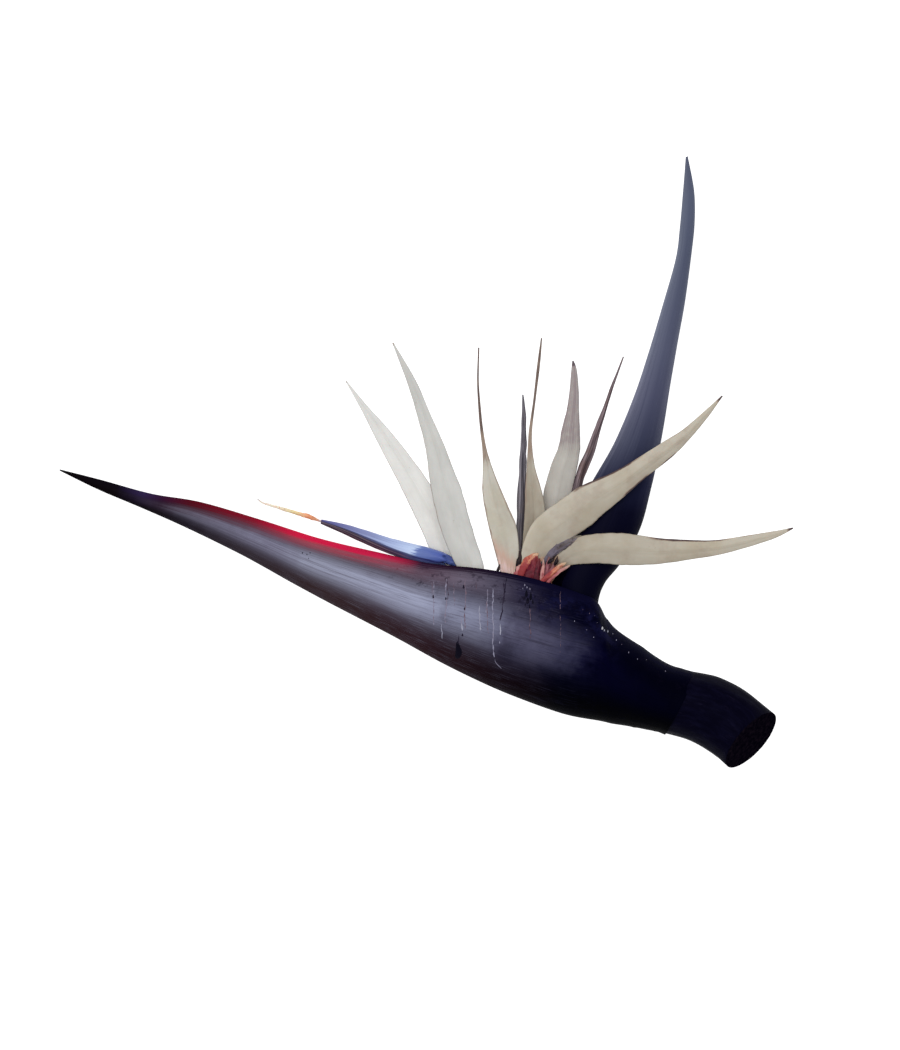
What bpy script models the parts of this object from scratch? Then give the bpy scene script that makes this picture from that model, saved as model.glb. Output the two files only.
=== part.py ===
"""White bird of paradise flower head, cut with a short stalk and lying on its side.

Sizes in the tables are millimetres; the scene is in metres with +Z up.
X runs from the beak of the lower bract to the stalk, and Y runs up along the upper bract.
The origin is on the surface that the flower lies on, below the middle of its outline.
"""

import math

import bmesh
import bpy
from mathutils import Vector

MM = 0.001
GAP = 0.3  # clearance that neighbouring pieces keep
UP = Vector((0.0, 0.0, 1.0))

# Where the lower bract's base meets the stalk, as a row of both tables
NECK = (165.9, -130.2, 146.6, -168.0, 24.0, 21.3)

# Lower bract, from the beak's tip to its base round the stalk:
# (top x, top y, keel x, keel y, middle z, half width, half gap of the slit)
LOWER_BRACT = [
    (-227.8, -4.7, -227.8, -5.6, 3.5, 0.5, 0.35),
    (-201.8, -11.3, -203.1, -17.7, 4.5, 2.2, 0.35),
    (-170.8, -19.8, -175.8, -29.1, 6.0, 4.0, 0.35),
    (-139.8, -25.1, -147.2, -41.9, 8.0, 6.3, 0.4),
    (-102.6, -36.0, -115.0, -57.7, 9.7, 8.6, 0.5),
    (-65.4, -47.8, -80.9, -76.6, 10.7, 11.2, 0.8),
    (-28.2, -56.6, -46.8, -94.5, 14.2, 14.8, 4.2),
    (2.8, -63.3, -15.8, -111.0, 18.8, 18.3, 9.2),
    (33.8, -66.3, 15.2, -127.4, 22.8, 22.0, 10.6),
    (64.8, -72.0, 49.3, -143.5, 25.6, 25.0, 12.0),
    (92.7, -80.5, 83.4, -155.9, 26.5, 25.9, 12.2),
    (108.8, -87.7, 108.2, -160.9, 26.3, 25.5, 11.6),
    (116.3, -102.0, 116.3, -162.6, 25.9, 24.5, 9.0),
    (133.0, -114.1, 128.0, -164.6, 25.2, 23.0, 6.0),
    (150.4, -125.4, 138.0, -166.5, 24.5, 21.8, 3.0),
    (*NECK, 1.0),
]
BRACT_RINGS = 38
BRACT_STEPS = 12  # from the margin down to the keel
BRACT_WALL = 3.4  # thickness of the lower bract where it is full
WALL_SHARE = 0.36  # the wall's share of the half width in the narrow beak
MARGIN_WALL = 2.2  # thickness of the mouth's margins
MARGIN_SHARE = 0.4  # the margin's share of the half width in the narrow beak
NECK_WALL = 3.6  # thickness where the bract holds the stalk's core
NECK_WALL_ROW = 14.0  # row where that thickness begins
HOLLOW_START = 2.1  # row where the hollow of the beak begins
OPEN_RINGS = 20
CLOSED_RINGS = 9
SLIT_END = 10.85  # row where the open mouth ends, behind the upper bract
SLIT_CLOSE = 0.12  # rows over which the mouth closes
SLIT_TAPER = 0.9  # width of the closed hollow's top, as a share of the slit's
SLIT_OVERSHOOT = 4.0  # how far the slit's cutter stands out of the mouth
NECK_OVERSHOOT = 3.0  # how far the hollow's cutter stands out of the base
SHEATH_ROW = 13.1  # row of the sheath's raised edge near the base
SHEATH_RISE = 0.6
SHEATH_SPREAD = 0.16  # in rows
MOUTH_FULLNESS = 1.45  # above 1 the flanks pull in towards the mouth
NECK_FULLNESS = 1.0  # round
TURN_START = 10.5  # row where the flanks begin to turn round
TURN_ROWS = 4.0

# Upper bract, from its tip down to its root on the core:
# (slit x, slit y, keel x, keel y, middle z, half width)
UPPER_BRACT = [
    (161.8, 189.4, 163.1, 190.0, 8.0, 0.5),
    (160.3, 168.3, 167.1, 168.3, 8.0, 2.2),
    (158.4, 146.6, 167.4, 148.5, 8.3, 3.6),
    (155.9, 126.8, 165.5, 129.9, 8.8, 5.0),
    (147.9, 98.3, 161.5, 100.1, 10.0, 7.6),
    (139.2, 69.1, 156.2, 71.0, 11.3, 9.8),
    (129.9, 41.2, 151.3, 42.5, 12.1, 12.0),
    (118.0, 12.7, 146.6, 13.3, 13.5, 14.35),
    (102.6, -14.6, 140.4, -15.8, 16.6, 15.2),
    (93.3, -36.3, 133.6, -40.6, 19.5, 14.8),
    (87.7, -54.9, 121.2, -62.9, 22.5, 13.2),
    (82.8, -72.2, 111.3, -75.3, 25.0, 11.3),
    (82.2, -85.9, 105.4, -86.5, 26.0, 10.4),
    (88.4, -99.5, 104.5, -98.3, 26.3, 8.8),
    (105.0, -125.0, 116.5, -119.0, 26.5, 7.0),
]
UPPER_RINGS = 30
UPPER_STEPS = 10
UPPER_FULLNESS = 1.2
LIP_WIDTH = 1.6  # half width of the edge where the two closed margins meet
LIP_SHARE = 0.35  # the lip's share of the half width near the tip
GROOVE_DEPTH = 4.0  # between the closed margins
GROOVE_SHARE = 0.3  # the groove's share of the depth near the tip
GROOVE_TAPER = 0.3  # width of the groove's floor, as a share of the lip's

# Stalk, from the neck to its cut end: (upper x, upper y, lower x, lower y, middle z, half width)
STALK = [
    NECK,
    (181.4, -133.6, 161.5, -172.1, 22.9, 21.5),
    (198.1, -142.0, 176.4, -180.1, 21.4, 21.6),
    (216.5, -156.5, 188.8, -190.0, 20.8, 21.5),
]
STALK_SIDES = 28
STALK_RINGS = 5
STALK_FIRST_ROW = 0.2
STALK_LAST_ROW = 2.4
CUT_REACH = 9.0  # the slanting cut reaches this much further on the side that faces the surface
CUT_BEVEL = 0.8
# (x, y, z, radius) of the core, whose blunt inner end carries the flowers
CORE = [
    (156.2, -149.1, 24.0, 17.2),
    (144.2, -145.4, 24.5, 16.5),
    (130.5, -139.4, 25.2, 15.4),
    (119.0, -134.5, 26.0, 13.5),
    (111.5, -131.5, 26.5, 10.5),
    (107.5, -129.8, 26.5, 7.0),
    (105.5, -129.0, 26.5, 2.5),
]
CORE_RINGS = 12

# Ovaries, from the core to the flower's seat: (x, y, z, radius)
OVARIES = {
    "flower_1_ovary": [
        (110.0, -138.5, 27.0, 3.5),
        (98.0, -142.0, 26.5, 4.0),
        (84.0, -143.0, 24.5, 4.6),
        (58.0, -131.5, 22.5, 5.8),
        (38.5, -114.0, 22.0, 6.8),
        (32.6, -101.5, 22.0, 7.2),
        (32.5, -97.5, 22.0, 7.4),
        (32.5, -93.6, 22.0, 7.5),
    ],
    "flower_2_ovary": [
        (108.0, -130.0, 21.5, 3.5),
        (97.0, -130.5, 21.5, 4.0),
        (86.0, -129.5, 23.0, 4.8),
        (72.0, -118.5, 25.5, 6.0),
        (61.0, -103.0, 27.0, 6.8),
        (59.2, -94.5, 27.0, 7.2),
        (59.2, -91.0, 27.0, 7.4),
        (59.2, -87.6, 27.0, 7.5),
    ],
    "flower_3_ovary": [
        (108.0, -130.5, 32.0, 3.4),
        (98.0, -128.0, 31.5, 3.8),
        (90.5, -120.0, 29.5, 4.5),
        (82.5, -108.0, 27.0, 5.6),
        (75.6, -95.0, 26.0, 6.5),
        (75.0, -91.5, 26.0, 6.8),
        (75.0, -89.5, 26.0, 6.9),
        (75.0, -87.6, 26.0, 7.0),
    ],
}

OVARY_RINGS = 14
OVARY_RESOLUTION = 4

# Sepals, from the ovary to the tip: rows of (x, y, z, half width), then the blade's form.
# cup bows the middle of the blade (fraction of the half width), lean tilts it sideways.
SEPALS = {
    "flower_1_sepal_left": dict(
        rows=[
            (31.5, -93.0, 19.6, 2.8),
            (29.0, -84.0, 19.0, 3.6),
            (21.7, -72.5, 17.4, 5.6),
            (13.3, -58.6, 15.4, 8.3),
            (7.8, -42.5, 14.6, 9.4),
            (0.3, -27.0, 14.2, 9.2),
            (-12.4, -5.3, 14.0, 7.4),
            (-26.4, 16.4, 14.0, 5.0),
            (-37.5, 32.6, 14.2, 2.3),
            (-49.3, 49.9, 14.5, 0.4),
        ],
        cup=-0.12,
        lean=0.0,
    ),
    "flower_1_sepal_front": dict(
        rows=[
            (33.5, -93.0, 27.3, 2.8),
            (32.6, -84.0, 27.4, 3.6),
            (30.4, -74.0, 27.8, 6.2),
            (28.0, -64.8, 28.6, 7.9),
            (22.9, -52.1, 30.6, 8.9),
            (17.8, -36.9, 32.2, 9.4),
            (13.5, -20.2, 33.4, 9.2),
            (10.2, -8.4, 33.8, 7.9),
            (5.6, 9.6, 34.0, 5.7),
            (-0.9, 28.2, 33.6, 4.0),
            (-8.2, 48.3, 32.6, 2.8),
            (-20.2, 73.5, 31.0, 0.4),
        ],
        cup=0.18,
        lean=0.1,
    ),
    "flower_1_sepal_back": dict(
        rows=[
            (33.5, -93.0, 16.3, 2.6),
            (32.6, -84.0, 15.4, 3.2),
            (28.6, -67.0, 13.6, 5.0),
            (21.5, -45.0, 10.4, 6.8),
            (14.5, -20.0, 8.2, 6.6),
            (7.5, 5.0, 6.6, 4.6),
            (0.0, 27.0, 5.4, 2.6),
            (-11.0, 52.0, 4.6, 0.4),
        ],
        cup=-0.06,
        lean=0.0,
    ),
    "flower_2_sepal_left": dict(
        rows=[
            (55.0, -87.0, 29.6, 2.8),
            (54.0, -78.0, 29.7, 3.6),
            (51.9, -67.3, 30.0, 5.6),
            (51.0, -58.0, 30.4, 7.2),
            (48.2, -42.5, 31.2, 8.3),
            (44.3, -30.1, 31.8, 7.2),
            (40.8, -17.7, 32.0, 5.6),
            (38.3, -5.3, 32.0, 3.8),
            (37.0, 7.1, 31.8, 2.2),
            (34.8, 19.5, 31.4, 1.15),
            (33.6, 31.9, 31.0, 0.8),
            (32.5, 50.0, 30.6, 0.55),
            (33.0, 70.5, 30.4, 0.4),
        ],
        cup=-0.2,
        lean=0.15,
    ),
    "flower_2_sepal_upright": dict(
        rows=[
            (60.5, -87.0, 26.3, 2.6),
            (61.2, -78.0, 26.6, 3.4),
            (64.5, -62.0, 27.6, 5.0),
            (66.8, -46.0, 28.6, 6.3),
            (67.8, -30.0, 29.4, 6.2),
            (66.7, -17.7, 30.0, 5.0),
            (65.4, -5.3, 30.4, 3.3),
            (64.8, 7.1, 30.6, 2.1),
            (65.1, 19.5, 30.8, 1.2),
            (66.8, 31.9, 31.0, 0.8),
            (69.0, 50.0, 31.2, 0.55),
            (71.9, 76.4, 31.6, 0.4),
        ],
        cup=-0.15,
        lean=0.0,
    ),
    "flower_2_sepal_wide": dict(
        rows=[
            (63.0, -87.0, 32.4, 2.8),
            (63.2, -78.0, 32.8, 3.6),
            (63.8, -67.0, 33.6, 5.2),
            (67.6, -55.0, 34.8, 8.0),
            (73.8, -45.6, 35.6, 10.4),
            (80.2, -40.6, 36.2, 11.6),
            (94.4, -30.7, 37.0, 11.8),
            (102.2, -24.7, 37.2, 11.2),
            (119.4, -14.1, 37.4, 8.2),
            (132.6, -4.7, 37.2, 6.4),
            (149.4, 7.1, 36.4, 5.4),
            (161.3, 16.7, 35.4, 3.6),
            (173.3, 28.8, 34.2, 2.1),
            (183.8, 40.6, 33.0, 0.4),
        ],
        cup=0.14,
        lean=-0.08,
    ),
    "flower_3_sepal_upright": dict(
        rows=[
            (74.5, -87.0, 22.8, 2.6),
            (74.6, -78.0, 22.8, 3.2),
            (76.0, -60.0, 22.4, 5.0),
            (78.5, -40.0, 21.8, 7.6),
            (81.5, -22.0, 21.4, 8.5),
            (85.5, -5.3, 21.0, 8.1),
            (89.0, 7.1, 20.6, 6.8),
            (90.2, 19.5, 20.2, 5.6),
            (91.5, 31.9, 19.8, 3.8),
            (92.3, 44.3, 19.4, 2.8),
            (92.2, 56.7, 19.0, 1.7),
            (91.5, 62.6, 18.8, 0.4),
        ],
        cup=0.18,
        lean=0.1,
    ),
    "flower_3_sepal_level": dict(
        rows=[
            (74.0, -87.0, 30.8, 2.4),
            (74.0, -79.0, 31.0, 2.7),
            (77.5, -70.5, 31.6, 3.0),
            (84.0, -62.4, 33.0, 4.6),
            (90.0, -57.6, 34.8, 7.0),
            (97.7, -54.9, 37.2, 8.6),
            (108.2, -53.9, 39.0, 9.2),
            (120.0, -54.2, 39.4, 9.8),
            (130.5, -54.9, 38.8, 9.3),
            (145.4, -55.5, 37.2, 7.9),
            (165.2, -54.6, 35.2, 5.9),
            (180.1, -53.4, 33.6, 4.7),
            (197.5, -49.9, 31.8, 3.7),
            (216.1, -45.4, 29.6, 2.2),
            (227.8, -41.3, 28.4, 0.4),
        ],
        cup=0.08,
        lean=0.1,
    ),
    "flower_3_sepal_back": dict(
        rows=[
            (74.5, -87.0, 19.6, 2.4),
            (74.6, -78.0, 19.2, 2.8),
            (77.0, -58.0, 16.0, 4.0),
            (80.5, -35.0, 12.6, 5.6),
            (84.5, -12.0, 10.0, 5.6),
            (88.5, 8.0, 8.4, 3.8),
            (90.5, 26.0, 7.2, 2.0),
            (91.5, 42.0, 6.4, 0.4),
        ],
        cup=0.16,
        lean=0.0,
    ),
    "flower_1_short_petal": dict(
        rows=[
            (38.0, -93.0, 23.4, 1.4),
            (38.6, -88.0, 23.4, 2.4),
            (39.4, -80.0, 23.2, 2.8),
            (39.0, -72.0, 22.8, 1.6),
            (38.2, -67.0, 22.6, 0.4),
        ],
        cup=0.3,
        lean=0.0,
    ),
}
SEAT_NORMAL = Vector((0.0, 1.0, 0.0))  # sepals stand square on the ovary
SEPAL_THICKNESS = 1.4
SEPAL_COLUMNS = 6
SEPAL_ROWS = 18

# Blue tongue, from the ovary to its tip: (top x, top y, bottom x, bottom y, middle z, half width).
# The sudden widening makes the two backward barbs of the arrow shape.
TONGUE = [
    (34.3, -93.0, 30.6, -93.0, 23.4, 1.6),
    (33.8, -84.0, 30.2, -85.0, 23.4, 1.6),
    (29.8, -71.0, 27.0, -74.0, 22.8, 1.6),
    (22.0, -63.6, 20.2, -67.0, 22.2, 1.6),
    (10.0, -59.2, 9.4, -62.4, 21.6, 1.6),
    (12.4, -57.2, 11.6, -64.2, 21.6, 4.4),
    (6.0, -54.6, 4.6, -64.0, 21.3, 4.8),
    (-5.0, -51.6, -7.0, -62.6, 20.0, 4.8),
    (-20.0, -48.0, -22.0, -57.6, 18.6, 4.2),
    (-36.0, -42.9, -37.6, -51.2, 18.2, 3.4),
    (-51.0, -38.6, -52.2, -44.4, 18.2, 2.6),
    (-64.6, -35.9, -65.2, -38.7, 18.4, 1.6),
]
TONGUE_RINGS = 34
TONGUE_STEPS = 8
CHANNEL_DEPTH = 2.4
CHANNEL_HALF = 1.1
CHANNEL_LIP = 0.3  # width of the channel's edge
CHANNEL_FLOOR = 0.9  # height left below the channel at the tongue's tip

# Style, from the ovary through the tongue's channel out to the long stigma: (x, y, z, radius)
STYLE = [
    (33.1, -93.0, 23.4, 0.75),
    (32.6, -84.3, 23.4, 0.75),
    (29.2, -71.8, 22.8, 0.75),
    (21.6, -64.4, 22.2, 0.75),
    (12.4, -58.5, 21.6, 0.75),
    (5.8, -55.9, 21.3, 0.75),
    (-5.2, -52.9, 20.0, 0.75),
    (-20.3, -49.3, 18.6, 0.75),
    (-36.2, -44.1, 18.2, 0.75),
    (-51.2, -39.8, 18.2, 0.75),
    (-64.8, -37.0, 18.4, 0.75),
    (-68.5, -35.8, 18.5, 1.5),
    (-76.0, -33.4, 18.6, 1.6),
    (-92.0, -28.0, 18.9, 1.3),
    (-104.0, -23.2, 19.2, 0.5),
]
STYLE_RINGS = 43
STYLE_RESOLUTION = 2

# Dried tongues of the older flowers: (x, y, z, radius)
DRIED_TONGUES = {
    "flower_2_tongue": [
        (58.5, -87.0, 21.9, 1.9),
        (58.3, -78.0, 21.8, 2.0),
        (58.0, -60.0, 21.7, 2.2),
        (58.9, -42.5, 22.0, 2.6),
        (59.5, -24.0, 22.8, 2.8),
        (60.0, -5.0, 23.6, 2.2),
        (60.6, 7.1, 24.2, 1.8),
        (60.9, 19.5, 24.6, 1.5),
        (61.0, 31.9, 25.0, 1.1),
        (60.4, 41.5, 25.2, 0.4),
    ],
    "flower_3_tongue": [
        (77.0, -87.0, 26.6, 1.8),
        (77.8, -78.0, 26.7, 1.9),
        (81.0, -62.5, 27.0, 2.3),
        (87.5, -48.5, 27.4, 3.2),
        (90.6, -34.0, 27.4, 2.8),
        (93.4, -17.7, 27.0, 2.7),
        (97.2, -5.3, 26.6, 2.7),
        (102.1, 7.1, 26.0, 2.4),
        (106.3, 19.5, 25.4, 1.8),
        (110.8, 31.9, 24.8, 1.3),
        (115.0, 44.3, 24.2, 0.9),
        (119.7, 56.7, 23.6, 0.6),
        (122.8, 65.0, 23.2, 0.4),
    ],
}

DRIED_RINGS = 22
DRIED_RESOLUTION = 3

RUN_STEP = 0.05  # part of a row over which a direction is measured
EDGE_ANGLE = 40.0  # degrees; edges that turn less are shaded smooth
MERGE_DISTANCE = 1e-6

# name: (red, green, blue), roughness; linear colours, no piece is metallic
FINISHES = {
    "bract_skin": ((0.055, 0.05, 0.09), 0.42),
    "stalk_skin": ((0.012, 0.01, 0.025), 0.45),
    "fresh_sepal": ((0.74, 0.72, 0.64), 0.5),
    "old_sepal": ((0.6, 0.55, 0.42), 0.6),
    "blue_petal": ((0.16, 0.22, 0.55), 0.45),
    "stigma": ((0.66, 0.42, 0.2), 0.55),
    "dried_petal": ((0.09, 0.07, 0.1), 0.7),
    "flower_base": ((0.5, 0.16, 0.12), 0.5),
}


def clear_scene():
    for obj in list(bpy.data.objects):
        bpy.data.objects.remove(obj, do_unlink=True)


def new_collection(name):
    collection = bpy.data.collections.new(name)
    bpy.context.scene.collection.children.link(collection)
    return collection


def make_material(name):
    colour, roughness = FINISHES[name]
    material = bpy.data.materials.new(name)
    material.use_nodes = True
    shader = material.node_tree.nodes["Principled BSDF"]
    shader.inputs["Base Color"].default_value = (*colour, 1.0)
    shader.inputs["Roughness"].default_value = roughness
    shader.inputs["Metallic"].default_value = 0.0
    return material


def row_at(table, place):
    """The table's row at a fractional place, on a smooth curve through the rows."""
    last = len(table) - 1
    index = min(int(place), last - 1)
    t = place - index
    before = table[max(index - 1, 0)]
    start = table[index]
    end = table[index + 1]
    after = table[min(index + 2, last)]
    values = []
    for a, b, c, d in zip(before, start, end, after):
        curve = (2 * a - 5 * b + 4 * c - d) * t * t + (3 * b - a - 3 * c + d) * t ** 3
        values.append(b + 0.5 * ((c - a) * t + curve))
    return values


def run_at(table, place):
    """The way in which a table of centres runs at a fractional place."""
    last = len(table) - 1.0
    ahead = row_at(table, min(place + RUN_STEP, last))
    behind = row_at(table, max(place - RUN_STEP, 0.0))
    return Vector(ahead[:3]) - Vector(behind[:3])


def places(first, last, count):
    return [first + (last - first) * i / (count - 1) for i in range(count)]


def neck_direction():
    """The way in which the stalk leaves the lower bract."""
    upper = Vector(NECK[0:2]).to_3d()
    lower = Vector(NECK[2:4]).to_3d()
    return (upper - lower).cross(UP).normalized()


def on_surface(point):
    """A point in metres, kept from going below the surface that the flower lies on."""
    return Vector((point.x, point.y, max(point.z, 0.0))) * MM


def add_object(name, mesh, collection, finish):
    obj = bpy.data.objects.new(name, mesh)
    collection.objects.link(obj)
    mesh.materials.clear()
    mesh.materials.append(MATERIALS[finish])
    mesh.shade_smooth()
    mesh.set_sharp_from_angle(angle=math.radians(EDGE_ANGLE))
    return obj


def loft(name, rings, collection, finish):
    """A closed body through rings that have equal numbers of points."""
    bm = bmesh.new()
    loops = [[bm.verts.new(on_surface(point)) for point in ring] for ring in rings]
    for ring, following in zip(loops, loops[1:]):
        for i in range(len(ring)):
            j = (i + 1) % len(ring)
            bm.faces.new((ring[i], ring[j], following[j], following[i]))
    bm.faces.new(loops[0])
    bm.faces.new(loops[-1])
    bmesh.ops.recalc_face_normals(bm, faces=bm.faces)
    bmesh.ops.triangulate(bm, faces=bm.faces)
    mesh = bpy.data.meshes.new(name)
    bm.to_mesh(mesh)
    bm.free()
    return add_object(name, mesh, collection, finish)


def cut(target, cutter):
    modifier = target.modifiers.new("cut_" + cutter.name, "BOOLEAN")
    modifier.operation = "DIFFERENCE"
    modifier.solver = "EXACT"
    modifier.object = cutter
    cutter.hide_render = True
    cutter.display_type = "WIRE"


def boat_half(steps, half_width, top_half, fullness):
    """One flank of a folded bract: (height from 1 at the margin to -1 at the keel, width)."""
    flank = []
    for i in range(steps):
        angle = math.pi * i / steps
        height = math.cos(angle)
        width = half_width * math.sin(angle)
        if height > 0.0:
            width = top_half + (half_width - top_half) * math.sin(angle) ** fullness
        flank.append((height, width))
    return flank


def boat_ring(row, steps, top_half, fullness, inset=0.0, rim=(0.0, 0.0)):
    """A ring across a folded bract, whose rim adds one point a side: (height, half width)."""
    top = Vector((row[0], row[1], row[4]))
    keel = Vector((row[2], row[3], row[4]))
    rise = (top - keel).normalized()
    middle = (top + keel) / 2.0
    half_depth = (top - keel).length / 2.0 - inset
    half_width = row[5] - inset
    flank = boat_half(steps, half_width, min(top_half, half_width), fullness)
    near = [middle + rise * h * half_depth + UP * w for h, w in flank]
    far = [middle + rise * h * half_depth - UP * w for h, w in flank]
    height, width = rim
    rim_far = top + rise * height - UP * width
    rim_near = top + rise * height + UP * width
    return near + [middle - rise * half_depth] + far[::-1] + [rim_far, rim_near]


def lower_bract_fullness(place):
    """Flanks pull in towards the mouth and turn round towards the neck."""
    turn = min(max((place - TURN_START) / TURN_ROWS, 0.0), 1.0)
    return MOUTH_FULLNESS + (NECK_FULLNESS - MOUTH_FULLNESS) * turn


def lower_bract_outside():
    """Rings of the outer skin, with the sheath's edge raised a little."""
    rings = []
    for place in places(0.0, len(LOWER_BRACT) - 1.0, BRACT_RINGS):
        row = row_at(LOWER_BRACT, place)
        swell = SHEATH_RISE * math.exp(-((place - SHEATH_ROW) / SHEATH_SPREAD) ** 2)
        row[5] += swell
        margin = row[6] + min(MARGIN_WALL, MARGIN_SHARE * row[5])
        fullness = lower_bract_fullness(place)
        rings.append(boat_ring(row, BRACT_STEPS, margin, fullness, -swell, (0.0, row[6])))
    return rings


def lower_bract_inside():
    """Rings of the hollow: open at the mouth, closed above behind it, open again at the base."""
    last = len(LOWER_BRACT) - 1.0
    rings = []
    for place in places(HOLLOW_START, SLIT_END, OPEN_RINGS):
        row = row_at(LOWER_BRACT, place)
        wall = min(BRACT_WALL, WALL_SHARE * row[5])
        rim = (SLIT_OVERSHOOT, row[6])
        rings.append(boat_ring(row, BRACT_STEPS, row[6], lower_bract_fullness(place), wall, rim))
    for place in places(SLIT_END + SLIT_CLOSE, last, CLOSED_RINGS):
        row = row_at(LOWER_BRACT, place)
        wall = NECK_WALL if place > NECK_WALL_ROW else BRACT_WALL
        rim = (-wall, SLIT_TAPER * row[6])
        rings.append(boat_ring(row, BRACT_STEPS, row[6], lower_bract_fullness(place), wall, rim))
    beyond = neck_direction() * NECK_OVERSHOOT
    rings.append([point + beyond for point in rings[-1]])
    return rings


def make_lower_bract(collection, cutters):
    bract = loft("lower_bract", lower_bract_outside(), collection, "bract_skin")
    hollow = loft("bract_hollow", lower_bract_inside(), cutters, "bract_skin")
    cut(bract, hollow)


def make_upper_bract(collection, core_cutter):
    rings = []
    for place in places(0.0, len(UPPER_BRACT) - 1.0, UPPER_RINGS):
        row = row_at(UPPER_BRACT, place)
        lip = min(LIP_WIDTH, LIP_SHARE * row[5])
        depth = min(GROOVE_DEPTH, GROOVE_SHARE * math.dist(row[0:2], row[2:4]))
        groove = (-depth, GROOVE_TAPER * lip)
        rings.append(boat_ring(row, UPPER_STEPS, lip, UPPER_FULLNESS, rim=groove))
    bract = loft("upper_bract", rings, collection, "bract_skin")
    cut(bract, core_cutter)


def oval(centre, across, lift, sides):
    angles = [2.0 * math.pi * i / sides for i in range(sides)]
    return [centre + across * math.cos(a) + lift * math.sin(a) for a in angles]


def stalk_ring(row, shrink=0.0):
    """An oval ring between the stalk's upper and lower edge."""
    upper = Vector((row[0], row[1], row[4]))
    lower = Vector((row[2], row[3], row[4]))
    middle = (upper + lower) / 2.0
    across = (lower - middle) * (1.0 - shrink / row[5])
    return oval(middle, across, UP * (row[5] - shrink), STALK_SIDES)


def core_rings(extra):
    rings = []
    for place in places(0.0, len(CORE) - 1.0, CORE_RINGS):
        x, y, z, radius = row_at(CORE, place)
        run = run_at(CORE, place).normalized()
        across = UP.cross(run).normalized() * (radius + extra)
        lift = run.cross(across)
        rings.append(oval(Vector((x, y, z)), across, lift, STALK_SIDES))
    return rings


def cut_end_ring(outward, bevel):
    """The stalk's slanting cut, whose lower side reaches further; bevel draws it in."""
    end = STALK[-1]
    ring = []
    for point in stalk_ring(end, bevel):
        depth = (end[4] - point.z) / end[5]
        ring.append(point + outward * (CUT_REACH * depth + bevel - CUT_BEVEL))
    return ring


def make_stem(collection):
    """The stalk from its cut end to the shoulder at the bract, then the core inside it."""
    outward = neck_direction()
    rings = [cut_end_ring(outward, CUT_BEVEL), cut_end_ring(outward, 0.0)]
    for place in places(STALK_LAST_ROW, STALK_FIRST_ROW, STALK_RINGS):
        rings.append(stalk_ring(row_at(STALK, place)))
    shoulder = outward * GAP
    step = NECK[5] - CORE[0][3]
    rings.append([point + shoulder for point in stalk_ring(NECK)])
    rings.append([point + shoulder for point in stalk_ring(NECK, step)])
    rings += core_rings(0.0)[1:]
    loft("stem", rings, collection, "stalk_skin")


def make_core_cutter(cutters):
    rings = core_rings(GAP)
    beyond = (Vector(CORE[-1][:3]) - Vector(CORE[-2][:3])).normalized() * GAP
    rings.append([point + beyond for point in rings[-1]])
    return loft("core_cutter", rings, cutters, "stalk_skin")


def make_blade(name, form, collection, finish):
    """A sepal: a flat grid laid along the rows, bowed across, then given its thickness."""
    rows = form["rows"]
    last = len(rows) - 1.0
    bm = bmesh.new()
    bmesh.ops.create_grid(bm, x_segments=SEPAL_COLUMNS, y_segments=SEPAL_ROWS, size=1.0)
    for vert in bm.verts:
        side = vert.co.x
        place = (vert.co.y + 1.0) / 2.0 * last
        x, y, z, half = row_at(rows, place)
        run = run_at(rows, place)
        run = Vector((run.x, run.y, 0.0)).normalized()
        run = run.lerp(SEAT_NORMAL, max(0.0, 1.0 - place)).normalized()
        across = UP.cross(run)
        bow = form["cup"] * half * (1.0 - side * side) - form["lean"] * half * side
        vert.co = (Vector((x, y, z + bow)) + across * side * half) * MM
    bmesh.ops.triangulate(bm, faces=bm.faces, quad_method="FIXED")
    mesh = bpy.data.meshes.new(name)
    bm.to_mesh(mesh)
    bm.free()
    blade = add_object(name, mesh, collection, finish)
    wall = blade.modifiers.new("thickness", "SOLIDIFY")
    wall.thickness = SEPAL_THICKNESS * MM
    wall.offset = 0.0


def tube_guide(name, rows, count, resolution, collection):
    """A curve through the rows, whose radius follows theirs."""
    curve = bpy.data.curves.new(name, "CURVE")
    curve.dimensions = "3D"
    curve.bevel_depth = MM
    curve.bevel_resolution = resolution
    curve.use_fill_caps = True
    spline = curve.splines.new("POLY")
    spline.points.add(count - 1)
    for point, place in zip(spline.points, places(0.0, len(rows) - 1.0, count)):
        x, y, z, radius = row_at(rows, place)
        point.co = (x * MM, y * MM, z * MM, 1.0)
        point.radius = radius
    guide = bpy.data.objects.new(name + "_guide", curve)
    collection.objects.link(guide)
    return guide


def make_tube(name, rows, count, resolution, collection, finish):
    """A tapering round piece, made as a curve and then turned into a welded mesh."""
    guide = tube_guide(name, rows, count, resolution, collection)
    bpy.context.view_layer.update()
    evaluated = guide.evaluated_get(bpy.context.evaluated_depsgraph_get())
    mesh = bpy.data.meshes.new_from_object(evaluated)
    bpy.data.objects.remove(guide, do_unlink=True)
    bm = bmesh.new()
    bm.from_mesh(mesh)
    bmesh.ops.remove_doubles(bm, verts=bm.verts, dist=MERGE_DISTANCE)
    bmesh.ops.recalc_face_normals(bm, faces=bm.faces)
    bm.to_mesh(mesh)
    bm.free()
    return add_object(name, mesh, collection, finish)


def make_tongue(collection):
    rings = []
    for place in places(0.0, len(TONGUE) - 1.0, TONGUE_RINGS):
        row = row_at(TONGUE, place)
        height = math.dist(row[0:2], row[2:4])
        channel = (-min(CHANNEL_DEPTH, height - CHANNEL_FLOOR), CHANNEL_HALF)
        lip = CHANNEL_HALF + CHANNEL_LIP
        rings.append(boat_ring(row, TONGUE_STEPS, lip, 1.0, rim=channel))
    loft("flower_1_tongue", rings, collection, "blue_petal")


def sepal_finish(node):
    if node.endswith("petal"):
        return "blue_petal"
    if node.startswith("flower_1"):
        return "fresh_sepal"
    return "old_sepal"


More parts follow.
